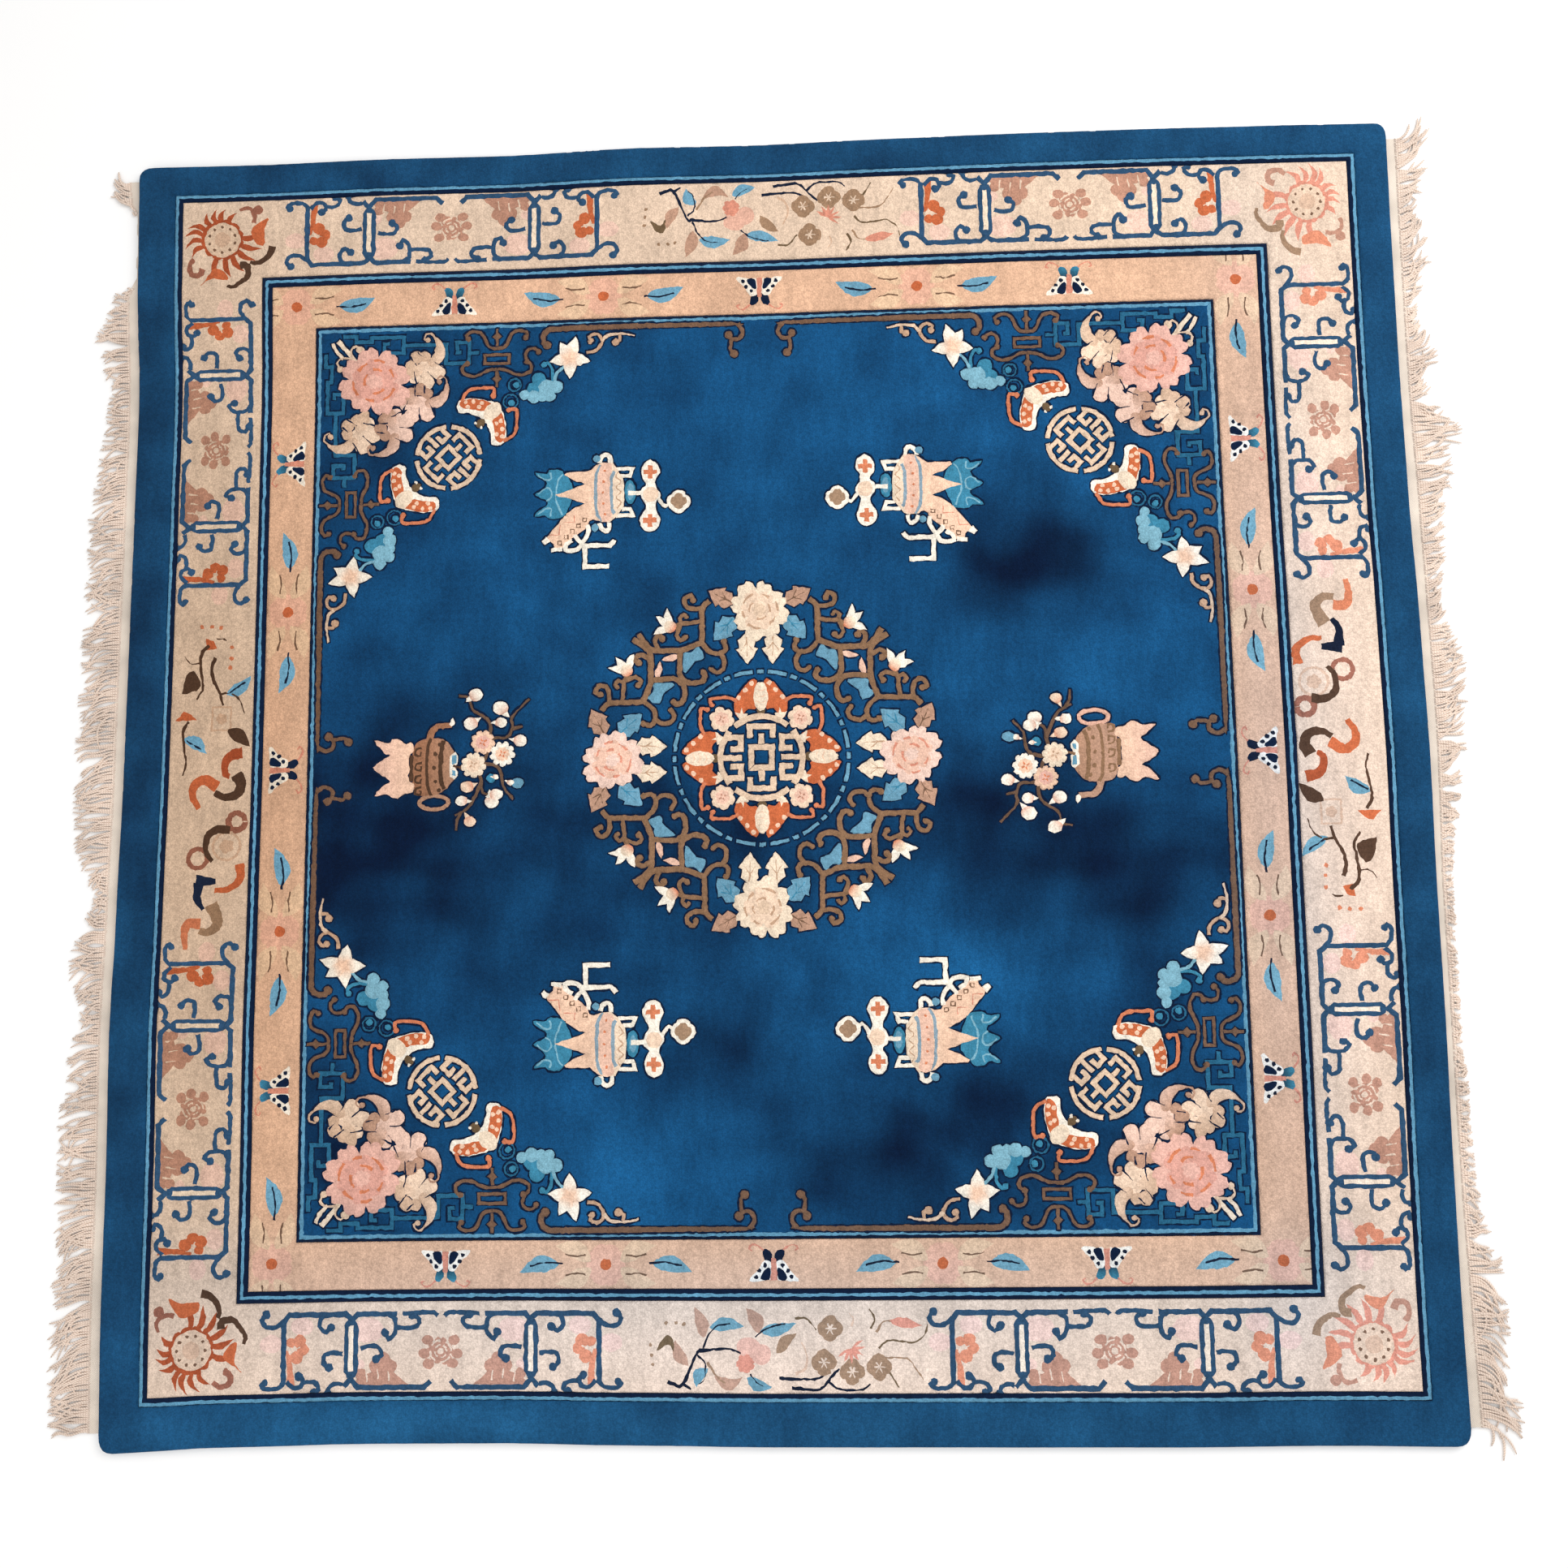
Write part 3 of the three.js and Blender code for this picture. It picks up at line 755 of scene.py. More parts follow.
SELVEDGE_BRANCHES = [
    ([-188 + 68j, -176 + 72j, -160 + 72j, -134 + 16j, -126 + 12j], 7, "ink"),
    ([-160 + 72j, -146 + 80j], 6, "ink"),
    ([-130 + 14j, -90 + 10j, -70 + 12j, -56 + 18j], 6.5, "ink"),
    ([-134 + 22j, -120 + 36j, -122 + 62j, -132 + 72j], 3.5, "ink"),
    ([-124 + 10j, -112 - 16j, -96 - 30j, -74 - 33j], 3.5, "ink"),
    ([-30 - 10j, -14 - 22j, 6 - 30j, 24 - 33j], 3.5, "ink"),
    ([-40 + 54j, -28 + 68j, -16 + 74j], 3, "ink"),
    ([12 + 60j, 60 + 63j, 84 + 60j, 100 + 48j], 6, "ink"),
    ([34 + 77j, 60 + 80j, 84 + 80j, 104 + 60j, 120 + 44j], 6.5, "ink"),
    ([98 + 66j, 120 + 80j, 160 + 80j, 174 + 70j], 5, "ink"),
    ([-116 + 34j, -100 + 58j, -84 + 70j], 5, "tan_olive"),
    ([42 + 54j, 58 + 44j, 62 + 22j, 52 - 2j], 5, "tan_pale"),
    ([42 - 42j, 62 - 42j, 80 - 22j], 4, "olive"),
    ([200 + 26j, 240 + 28j, 256 + 46j, 268 + 64j], 3.5, "tan_olive"),
    ([206 + 48j, 218 + 66j, 224 + 76j], 3.5, "olive"),
    ([190 + 10j, 206 - 3j, 232 - 2j, 254 + 0j, 272 - 14j, 278 - 32j], 4, "olive"),
    ([176 - 24j, 184 - 42j, 174 - 58j], 4.5, "olive"),
    ([186 - 18j, 200 - 36j, 224 - 36j], 3.5, "tan_olive"),
    ([142 - 28j, 146 - 40j, 138 - 52j], 3, "tan_pale"),
]
SELVEDGE_LEAVES = [
    (-116 + 44j, -136 + 78j, 22, 8, "sky"), (-46 + 60j, 0 + 76j, 22, 6, "sky"),
    (-112 - 26j, -50 - 28j, 24, -6, "sky"),
    (-22 - 20j, 44 - 34j, 22, 4, "sky"), (-104 + 58j, -52 + 58j, 22, 14, "mauve_tan"),
    (-150 + 40j, -174 - 4j, 22, -6, "mauve_tan"),
    (-122 - 8j, -138 - 62j, 24, 4, "mauve_tan"), (-22 - 16j, -46 - 60j, 26, 6, "mauve_tan"),
    (8 + 18j, 44 - 16j, 20, -4, "tan_olive"),
]


def selvedge_panel():
    """The middle of the upper main border: two branches with leaves, buds and four-petalled flowers."""
    stems = [plain(ribbon(line, width, 0.5 * width), yarn) for line, width, yarn in SELVEDGE_BRANCHES]
    leaves = [plain(leaf(*row[:4]), row[4]) for row in SELVEDGE_LEAVES]
    flowers = [
        plain(disc(-42 + 8j, 18, 1.2), "blush_rose"),
        plain(lobed(-48 + 36j, 17, 7, 0.2), "rose"),
        plain(disc(-20 + 20j, 18), "blush_rose"),
    ]
    spots = [plain(lobed(c, 23, 4, 0.24, 45), "tan_olive")
             for c in (92 + 34j, 142 + 50j, 190 + 42j, 104 - 24j)]
    spot_rays = [
        plain(ribbon([c - 9 * ray, c + 11 * ray], 3, 1.5), "sand")
        for c in (92 + 34j, 142 + 50j, 190 + 42j, 104 - 24j)
        for ray in (1, cmath.exp(1.1j), cmath.exp(2.1j))
    ]
    bursts = [
        plain(leaf(140 + 10j, 140 + 10j + 26 * cmath.exp(1j * a), 6), "rose")
        for a in np.linspace(-0.6, 2.6, 7)
    ]
    bud = [
        plain(leaf(210 - 38j, 268 - 28j, 18), "rose"),
        plain(blob(-206 + 14j, -186 + 4j, -176 + 16j, -178 - 6j, -186 - 12j, -198 - 4j), "olive"),
        *(plain(disc(z, 3.4), "tan_olive")
          for z in (-218 + 4j, -216 + 22j, -214 + 38j, -190 - 34j, -172 - 34j, -158 - 32j)),
    ]
    return flowers + leaves + stems + spots + spot_rays + bursts + bud


WARP_HOOKS = [
    ([20 - 22j, -4 - 8j, -24 - 18j, -27 - 40j, -14 - 62j], 17, "rust"),
    ([66 + 42j, 46 + 38j, 34 + 24j, 34 + 4j, 44 - 2j], 17, "rust_deep"),
    ([56 + 2j, 66 - 18j, 58 - 36j, 36 - 42j, 16 - 32j], 18, "umber"),
    ([48 - 104j, 24 - 102j, 4 - 116j, 4 - 146j, 16 - 162j], 13, "umber"),
    ([-14 - 198j, 24 - 200j], 18, "ink"),
    ([-8 - 202j, -10 - 232j, 2 - 252j], 15, "ink"),
    ([68 - 168j, 70 - 196j, 48 - 214j, 22 - 216j], 14, "rust"),
    ([16 - 242j, 26 - 262j, 30 - 280j, 14 - 294j, -4 - 292j], 20, "tan_olive"),
    ([-2 - 278j, -24 - 278j, -32 - 296j, -28 - 326j], 16, "salmon"),
]
WARP_BRANCHES = [
    ([-4 + 250j, -20 + 232j, -18 + 190j, -14 + 168j, -26 + 146j], 7),
    ([8 + 226j, 2 + 206j, 6 + 182j, 18 + 160j, 26 + 134j], 8),
    ([20 + 156j, 40 + 158j], 5),
    ([42 + 156j, 58 + 144j, 68 + 118j], 3),
    ([-20 + 216j, -40 + 216j, -52 + 230j], 3),
    ([-40 + 104j, -50 + 84j, -46 + 48j, -42 + 22j, -48 + 2j], 6),
    ([10 + 262j, 24 + 262j, 30 + 258j], 3),
]


def warp_panel():
    """The middle of a warp-end main border: stems with leaves above, and a run of hooked clouds below."""
    stems = [plain(ribbon(line, width, 0.6 * width), "umber") for line, width in WARP_BRANCHES]
    hooks = [plain(ribbon(line, 1.3 * width, 0.6 * width), yarn) for line, width, yarn in WARP_HOOKS]
    leaves = [
        plain(leaf(32 + 154j, 80 + 190j, 24, -6), "sky"),
        plain(ribbon([38 + 158j, 68 + 178j], 3), "ink"),
        plain(leaf(-48 + 72j, -4 + 42j, 26, 6), "sky"),
        plain(ribbon([-44 + 68j, -14 + 50j], 3), "ink"),
        plain(leaf(36 + 88j, 80 + 54j, 26, 4), "umber"),
        plain(leaf(-34 + 202j, -56 + 156j, 34, 10), "umber"),
        plain(sharp(-66 + 106j, -50 + 124j, -36 + 118j, -24 + 106j), "rust"),
        plain(sharp(-12 + 264j, 4 + 258j, 10 + 244j, -8 + 240j), "rust"),
    ]
    squares = [plain(disc(z, 4.2), "salmon")
               for z in (-20 + 286j, 0 + 286j, 18 + 284j, 40 + 246j, 40 + 224j, 38 + 206j)]
    rings = [
        plain(ribbon(disc(60 - 88j, 16), 11, closed=True), "mauve_deep"),
        plain(ribbon(disc(-12 - 156j, 18), 9, closed=True), "mauve_deep"),
        plain(ribbon(disc(42 - 134j, 26), 5, closed=True), "tan_pale"),
        plain(lobed(42 - 134j, 14, 5, 0.2), "tan_pale"),
        plain(square_ring(24 + 108j, 36, 44, 4), "tan_pale"),
        plain(lobed(24 + 108j, 11, 5, 0.2), "tan_pale"),
    ]
    return rings + squares + leaves + stems + hooks


def inner_flower():
    """A pale round flower with a rust heart and a pair of leaves and a blue leaf on either side."""
    half = [
        plain(leaf(26 + 6j, 92 + 34j, 32, 8), "cream_shade"),
        plain(leaf(26 - 6j, 92 - 34j, 32, -8), "cream_shade"),
        plain(ribbon([36 + 17j, 56 + 15j, 74 + 19j], 3), "bark"),
        plain(ribbon([36 - 17j, 56 - 15j, 74 - 19j], 3), "bark"),
        plain(leaf(84 - 2j, 156 + 14j, 30, -7), "sky"),
        plain(ribbon([78 - 2j, 108 - 4j, 138 + 2j], 3.5), "ink"),
    ]
    return [plain(lobed(0, 38, 8, 0.1), "pink_gold"), *mirrored(half), plain(disc(0, 10.5), "rust")]


# The lay of the design on the rug

DESIGN_CENTRE = 5 + 8j  # the design sits a little off the middle of the pile
MEDALLION_CENTRE = -4 + 14j
FIELD_HALF = 857.0
GROOVE_SHADE_WIDTH = 3.2  # painted shade: width of the navy ring painted around a carved motif, where its groove lies in shadow
MAIN_BORDER_LINE = 1056.0  # from the design's centre to the middle of the main border
INNER_BORDER_LINE = 912.0
PANEL_PLACE = 602.0  # from the middle of a side to the middle of a scroll panel
WARP_PANEL_PLACE = 626.0  # the same at the warp ends, where the panels are shorter
WARP_PANEL_LENGTH = 0.93  # of the length on the other sides
BURNER_PLACE = 323 + 466j  # of the upper right burner, from the middle of the four
BURNERS_CENTRE = -4 + 10j
LEFT_POT = -660 + 40j
RIGHT_POT = 654 - 22j
MEDALLION_SIZE = 0.98  # of its drawing
UPPER_BRANCHES = 1055j  # the middles of the four sides of the main border
LOWER_BRANCHES = -1040j
LEFT_CLOUDS = -1055
RIGHT_CLOUDS = 1060
# Painted light: lighter copies of yarns for the lower and right sides of the main border and for the
# right-hand pot
PALE_TILE = {"rust_deep": "rose", "rust": "salmon_pale", "umber": "tan_olive", "mauve_deep": "mauve_pale"}
PALE_POT = {"clay": "mauve_tan", "clay_light": "blush_rose", "umber": "bark_light"}
INNER_FLOWERS = (-906.0, -303.0, 303.0)
BUTTERFLIES = (-595.0, 595.0)


def grown(outline, by):
    """An outline moved outward."""
    z = np.asarray(outline, complex)
    area = (z.conj() * np.roll(z, -1)).imag.sum()
    run = np.roll(z, -1) - z
    run = run / np.maximum(np.abs(run), 1e-6)
    side = -1j * (run + np.roll(run, 1)) * math.copysign(1, area)
    return z + by * side / np.maximum(np.abs(side), 0.3)


def with_groove_shade(patches):
    """A motif after a navy ring of painted shade, which stands for the shadow in the groove carved around it.
    """
    carved = [p for p in patches if p[3]]
    return [plain(grown(outline, GROOVE_SHADE_WIDTH), "navy") for outline, *_ in carved] + patches


def quarters(patches, centre):
    """A motif of the upper right quarter, mirrored into all four."""
    right = patches + turned(patches, lambda z: -np.conj(z))
    return turned(right + turned(right, np.conj), lambda z: centre + z)


def redyed(patches, dyes):
    """The same patches with some yarns changed for others."""
    return [(outline, dyes.get(yarn, yarn), fade, carved) for outline, yarn, fade, carved in patches]


def field_plan():
    """Corner ornaments, burners, pots and the medallion."""
    # The carved motifs get a ring of navy painted around them as the shadow of their grooves.
    corner = turned(corner_ornament(), lambda z: FIELD_HALF * (1 + 1j) - z)
    burner = turned(censer(), lambda z: BURNER_PLACE - np.conj(z))
    pot = with_groove_shade(teapot())
    return [
        *quarters(with_groove_shade(corner), DESIGN_CENTRE),
        *quarters(with_groove_shade(burner), BURNERS_CENTRE),
        *turned(pot, placed(LEFT_POT)),
        # painted light: the right-hand pot in lighter copies of its yarns
        *turned(redyed(pot, PALE_POT), placed(RIGHT_POT, turn=180)),
        *turned(with_groove_shade(medallion()), placed(MEDALLION_CENTRE, size=MEDALLION_SIZE)),
    ]


def main_border_plan():
    """Scroll panels on either side of the middle, a seed head in each corner and a branch between."""
    panel = fret_panel()
    short_panel = turned(panel, lambda z: WARP_PANEL_LENGTH * z.real + 1j * z.imag)
    tile = corner_tile()
    parts = []
    for k in range(4):
        at_warp_end = k % 2 == 1
        # painted light: the lower and right sides take lighter copies of their yarns
        lit_side_dyes = PALE_TILE if k in (2, 3) else {}
        reach = WARP_PANEL_PLACE if at_warp_end else PANEL_PLACE
        for along in (-reach, reach):
            at = DESIGN_CENTRE + (along + MAIN_BORDER_LINE * 1j) * 1j**k
            parts += redyed(turned(short_panel if at_warp_end else panel, placed(at, turn=90 * k)), lit_side_dyes)
        corner = DESIGN_CENTRE + MAIN_BORDER_LINE * (-1 + 1j) * 1j**k
        parts += redyed(turned(tile, placed(corner, turn=90 * k)), lit_side_dyes)
    parts += turned(selvedge_panel(), placed(UPPER_BRANCHES))
    parts += turned(selvedge_panel(), placed(LOWER_BRANCHES, flip=True))
    parts += turned(warp_panel(), placed(LEFT_CLOUDS))
    parts += turned(warp_panel(), placed(RIGHT_CLOUDS, turn=180))
    return parts


def inner_border_plan():
    """Round flowers with leaves, and butterflies between them."""
    parts = []
    for k in range(4):
        side = [turned(inner_flower(), placed(along + INNER_BORDER_LINE * 1j)) for along in INNER_FLOWERS]
        side += [
            turned(butterfly("rose", "teal", "navy"), placed(along + INNER_BORDER_LINE * 1j))
            for along in BUTTERFLIES
        ]
        side.append(turned(butterfly("rose", "navy", "navy"), placed((INNER_BORDER_LINE + 4) * 1j, turn=180)))
        parts += turned(sum(side, []), placed(DESIGN_CENTRE, turn=90 * k))
    return parts


# Dyed yarns, and the dark blue of the painted nap shade, as sRGB hex

YARNS = {
    # One entry is no dyed yarn but the dark blue that the painted nap shade mixes into the blue ground.
    "blue": "1b6298", "blue_edge": "225f8c", "night": "030f2a", "navy": "0c1d38", "ink": "161f33",
    "guard_blue": "5f95b3", "border_blue": "2f4f6e", "teal": "3d84a2", "teal_dim": "2a6585", "haze": "7fb0c2",
    "sky": "6c9db5", "haze_grey": "8aa0ad", "sand": "e2c8b0", "gold": "e0b596", "ivory": "f8eede",
    "cream": "f0dbc2", "cream_warm": "eed0b6", "cream_shade": "e6c2a0", "tan_cream": "e0c3a8",
    "tan": "c4a084", "tan_pale": "d3b196", "tan_olive": "a08065", "peach": "f0c8ac", "pink": "e5b3a3",
    "pink_deep": "dda393", "pink_pale": "efcdbd", "pink_gold": "e8b49a", "blush": "eabfa9",
    "blush_pale": "ecc7b4", "blush_rose": "e3b29c", "rose": "d9917a", "salmon": "d4805c",
    "salmon_pale": "db8d6d", "rust": "c96a42",
    "rust_deep": "ad5433", "mauve": "bd8a75", "mauve_pale": "bc8c76", "mauve_deep": "9c6552",
    "mauve_tan": "bb937c", "bark": "795c49", "bark_light": "8c6b51", "bark_dark": "6d5443", "brown": "a5866c",
    "olive": "6f5a42", "umber": "553d2e", "clay": "a07054", "clay_light": "b48a70",
}
BLUES = {"blue", "blue_edge", "night", "navy", "ink", "guard_blue", "border_blue", "teal", "teal_dim",
         "sky", "haze"}
PALE = set(YARNS) - BLUES


# From the plan to pile meshes

BAND_STEP = 14.0  # mm between points along a band's edge
GRID_STEP = 18.0  # mm between points of open ground
LONGEST_RUN = 8.0  # a longer straight stretch of an outline is divided
HAND = 0.6  # how far a knotted outline strays, mm
CARVE_REACH = 3.2  # width of the slope on either side of a carved line
INSET = 2.7  # from an outline to the line of full-height pile inside it
EDGE_ROUNDING = 5.0  # how the overcast edge rounds over
NAP_UNEVEN = 0.22  # how unevenly the shears leave the pile, mm
CDT_MERGE = 0.02  # points closer than this are one, mm
SHOULDERS = (1.2, 2.8, 5.5)  # lines along a band's edge that round it over, mm


def pile_outline():
    """The edge of the knotted square, anticlockwise, from the upright wall of its solid."""
    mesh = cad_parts["pile_body"].data
    points = np.array([v.co for v in mesh.vertices]) / MM
    wall = points[np.abs(points[:, 2] - PILE_TOP / 2) < PILE_TOP / 2 - EDGE_ROUNDING + 0.1]
    edge = np.unique(np.round(wall[:, 0] + 1j * wall[:, 1], 2))
    edge = edge[np.maximum(np.abs(edge.real), np.abs(edge.imag)) > 0.97 * HALF]
    return edge[np.argsort(np.angle(edge))]


def edge_wander(outline):
    """A function that moves points of the design along with the wandering edges of the pile."""

    def side(along, out, sign):
        on = (sign * out > 0.95 * HALF) & (np.abs(along) < 0.95 * HALF)
        order = np.argsort(along[on])
        return along[on][order], out[on][order] - sign * HALF

    right, left = (side(outline.imag, outline.real, sign) for sign in (1, -1))
    far, near = (side(outline.real, outline.imag, sign) for sign in (1, -1))

    def pull(out):
        return np.clip((np.abs(out) / HALF - 0.5) / 0.5, 0, 1) ** 1.5

    def move(z):
        z = np.asarray(z, complex)
        x = np.where(z.real > 0, np.interp(z.imag, *right), np.interp(z.imag, *left))
        y = np.where(z.imag > 0, np.interp(z.real, *far), np.interp(z.real, *near))
        return z + x * pull(z.real) + 1j * y * pull(z.imag)

    return move


def divided(outline, longest):
    """A closed outline whose long stretches are divided."""
    ends = np.roll(outline, -1)
    parts = [
        a + (b - a) * np.arange(n) / n
        for a, b, n in zip(outline, ends, np.ceil(np.abs(ends - outline) / longest).astype(int))
        if n
    ]
    return np.concatenate(parts)


def band_line(inset):
    """The square line that lies this far in from the edge of the pile."""
    corners = DESIGN_CENTRE + (HALF - inset) * np.array([1 + 1j, -1 + 1j, -1 - 1j, 1 - 1j])
    return divided(corners, BAND_STEP)


def inside(points, outline):
    """Which points lie in an outline, by its winding number. Each edge meets only points of its height."""
    order = np.argsort(points.imag)
    x, y = points.real[order], points.imag[order]
    turns = np.zeros(len(points), int)
    ends = np.roll(outline, -1)
    spans = np.searchsorted(y, np.sort([outline.imag, ends.imag], axis=0))
    for a, b, first, last in zip(outline.tolist(), ends.tolist(), *spans.tolist()):
        if last > first:
            slope = (b.real - a.real) / (b.imag - a.imag)
            crossed = x[first:last] < a.real + (y[first:last] - a.imag) * slope
            turns[first:last] += crossed if b.imag > a.imag else -crossed.astype(int)
    found = np.zeros(len(points), bool)
    found[order] = turns != 0
    return found


def ring_edges(loops):
    """The points of closed loops, and the edges that join them."""
    sizes = np.array([len(loop) for loop in loops])
    starts = np.cumsum(sizes) - sizes
    ring = np.arange(sizes.sum())
    after = ring + 1
    after[starts + sizes - 1] = starts
    return np.concatenate(loops), np.column_stack([ring, after])


def triangulated(points, edges):
    """Points and anticlockwise triangles of a net that keeps every edge, and where its points come from."""
    vectors = [Vector((z.real, z.imag)) for z in points.tolist()]
    net = delaunay_2d_cdt(vectors, edges.tolist(), [], 0, CDT_MERGE)
    points = np.array([complex(v.x, v.y) for v in net[0]])
    faces = np.array(net[2])
    a, b, c = points[faces].T
    area = ((b - a).conj() * (c - a)).imag
    faces[area < 0] = faces[area < 0][:, ::-1]
    return points, faces[np.abs(area) > 1e-6], net[3]


def shown_lines(plan):
    """Points and edges of the outlines that no later area covers, and points just inside carved ones."""
    outlines = [line for line, *_ in plan]
    insets = [grown(line, -INSET)[::2] if carved else line[:0] for line, _, _, carved in plan]
    points, edges = ring_edges(outlines)
    loose = np.arange(len(points), len(points) + sum(len(line) for line in insets))
    points = np.concatenate([points, *insets])
    owner = np.concatenate([np.full(len(line), k)
                            for lines in (outlines, insets) for k, line in enumerate(lines)])
    index = CellIndex(points)
    shown = np.ones(len(points), bool)
    for k, line in enumerate(outlines):
        near = index.near(line)
        near = near[(owner[near] < k) & shown[near]]
        shown[near[inside(points[near], line)]] = False
    edges = edges[shown[edges].any(1)]
    used = np.unique(np.concatenate([edges.ravel(), loose[shown[loose]]]))
    return points[used], np.searchsorted(used, edges)


def edge_pairs(faces):
    """Each inner edge with its two faces, and each border edge, in its face's direction, with its face."""
    edges = np.concatenate([faces[:, (0, 1)], faces[:, (1, 2)], faces[:, (2, 0)]])
    face = np.tile(np.arange(len(faces)), 3)
    low, high = edges.min(1).astype(np.int64), edges.max(1).astype(np.int64)
    key = low * (high.max() + 1) + high
    order = np.argsort(key, kind="stable")
    twin = np.flatnonzero(key[order][1:] == key[order][:-1])
    first, second = order[twin], order[twin + 1]
    alone = np.ones(len(key), bool)
    alone[first] = alone[second] = False
    return edges[first], face[first], face[second], edges[alone], face[alone]


def distance_to(points, marks):
    """The distance from each point to the nearest mark."""
    tree = KDTree(len(marks))
    for k, z in enumerate(marks.tolist()):
        tree.insert((z.real, z.imag, 0), k)
    tree.balance()
    return np.array([tree.find((z.real, z.imag, 0))[2] for z in points.tolist()])


def along(edges, points):
    """Marks along edges, four to an edge."""
    a, b = points[edges].T
    return np.concatenate([a + (b - a) * t for t in (0, 0.25, 0.5, 0.75)])


class CellIndex:
    """Finds the points near an outline through square cells."""

    def __init__(self, points, cell=24.0):
        self.cell = cell
        self.low = complex(points.real.min(), points.imag.min())
        column = ((points.real - self.low.real) // cell).astype(int)
        row = ((points.imag - self.low.imag) // cell).astype(int)
        self.columns = column.max() + 1
        self.rows = row.max() + 1
        number = row * self.columns + column
        self.order = np.argsort(number, kind="stable")
        self.starts = np.searchsorted(number[self.order], np.arange(self.columns * self.rows + 1))

    def near(self, outline):
        """Indices of the points in the cells that an outline spans."""
        local = outline - self.low
        x0, x1 = (int(v // self.cell) for v in (local.real.min(), local.real.max()))
        y0, y1 = (int(v // self.cell) for v in (local.imag.min(), local.imag.max()))
        x0, x1 = max(x0, 0), min(x1, self.columns - 1)
        spans = [
            self.order[self.starts[row * self.columns + x0] : self.starts[row * self.columns + x1 + 1]]
            for row in range(max(y0, 0), min(y1, self.rows - 1) + 1)
            if x1 >= x0
        ]
        return np.concatenate(spans) if spans else np.zeros(0, int)


def open_ground(outline, hole, rng):
    """Loose points over a band, so that its pile can roll and vary."""
    low, high = outline.real.min() + 1j * outline.imag.min(), outline.real.max() + 1j * outline.imag.max()
    x, y = np.meshgrid(np.arange(low.real, high.real, GRID_STEP), np.arange(low.imag, high.imag, GRID_STEP))
    points = (x + 1j * y).ravel()
    points = points + rng.uniform(-0.3, 0.3, len(points)) * GRID_STEP
    points = points + 1j * rng.uniform(-0.3, 0.3, len(points)) * GRID_STEP
    keep = inside(points, grown(outline, -4))
    if hole is not None:
        keep &= ~inside(points, grown(hole, 4))
    return points[keep]


def painted(points, faces, plan, ground):
    """The place in the plan that colours each face, and the yarn that its height belongs to."""
    middles = points[faces].mean(1)
    index = CellIndex(middles)
    numbers = {name: k for k, name in enumerate(YARNS)}
    paint = np.full(len(faces), -1)
    level = np.full(len(faces), numbers[ground])
    for k, (outline, yarn, _, carved) in enumerate(plan):
        near = index.near(outline)
        hit = near[inside(middles[near], outline)]
        paint[hit] = k
        if carved:
            level[hit] = numbers[yarn]
    return paint, level


def corner_colours(points, faces, plan, paint, ground, dye):
    """The colour of every corner of every face, with fades from yarn to yarn, painted nap shade on the blue
    ground and painted light and shade on the pale wool.
    """
    names = [ground] + [yarn for _, yarn, _, _ in plan]
    colours = np.repeat(np.array([dye[name] for name in names])[paint + 1][:, None, :], 3, axis=1)
    for k, (_, yarn, fade, _) in enumerate(plan):
        if fade is None:
            continue
        on = np.flatnonzero(paint == k)
        start, end, far_yarn = fade
        share = ((points[faces[on]] - start) * np.conj(end - start)).real / abs(end - start) ** 2
        share = np.clip(share, 0, 1)[..., None]
        colours[on] = (1 - share) * dye[yarn] + share * dye[far_yarn]
    # Painted light and shade: the blue ground is mixed toward a dark blue where the nap pattern is low, and
    # left bright where it is high.
    nap_shaded = np.array([name in ("blue", "blue_edge") for name in names])[paint + 1]
    nap = nap_shade_at(points[faces[nap_shaded]])[..., None]
    colours[nap_shaded] = nap * colours[nap_shaded] + (1 - nap) * dye["night"]
    # Painted light and shade: the pale wool is darker towards the left and top and cooler towards the bottom
    # and right.
    pale = np.array([name in PALE for name in names])[paint + 1]
    colours[pale] *= painted_light_at(points[faces[pale]])
    return colours


def knotted(name, outline, hole, plan, ground, sizes, dye, rounded=False):
    """One band of pile as a closed mesh, cut along the plan and carved where its yarns meet."""
    rng = np.random.default_rng(len(name) + len(plan))
    drawn = []
    for part in plan:
        line = divided(part[0], LONGEST_RUN)
        line = line + rng.normal(0, HAND, len(line)) + 1j * rng.normal(0, HAND, len(line))
        drawn.append((line, *part[1:]))
    rims = [outline] if hole is None else [outline, hole]
    shoulders = [grown(outline, -d) for d in SHOULDERS]
    if hole is not None:
        shoulders += [grown(hole, d) for d in SHOULDERS]
    points, edges = ring_edges(rims)
    if drawn:
        line_points, line_edges = shown_lines(drawn)
        edges = np.concatenate([edges, line_edges + len(points)])
        points = np.concatenate([points, line_points])
    points = np.concatenate([points, open_ground(outline, hole, rng), *shoulders])
    points, faces, _ = triangulated(points, edges)
    middles = points[faces].mean(1)
    kept = inside(middles, outline)
    if hole is not None:
        kept &= ~inside(middles, hole)
    used, faces = np.unique(faces[kept], return_inverse=True)
    points, faces = points[used], faces.reshape(-1, 3)
    paint, level = painted(points, faces, drawn, ground)
    colours = corner_colours(points, faces, drawn, paint, ground, dye)

    inner, left, right, border, _ = edge_pairs(faces)
    carved_edges = inner[level[left] != level[right]]
    top = np.full(len(points), PILE_TOP) + rng.normal(0, NAP_UNEVEN, len(points))
    if len(carved_edges):
        away = distance_to(points, along(carved_edges, points))
        top -= sizes.carving / MM * np.clip(1 - away / CARVE_REACH, 0, 1) ** 1.5
    rim_away = distance_to(points, along(border, points))
    if rounded:
        outer_away = distance_to(points, divided(outline, 3.0))
        inward = np.clip(1 - outer_away / EDGE_ROUNDING, 0, 1)
        top -= EDGE_ROUNDING * (1 - np.sqrt(1 - inward**2))
        rim_away = distance_to(points, divided(hole, 3.0))
    top -= sizes.groove / MM * np.clip(1 - rim_away / CARVE_REACH, 0, 1) ** 1.5
    return solid(name, points, top, faces, colours, border, rims, dye[ground])


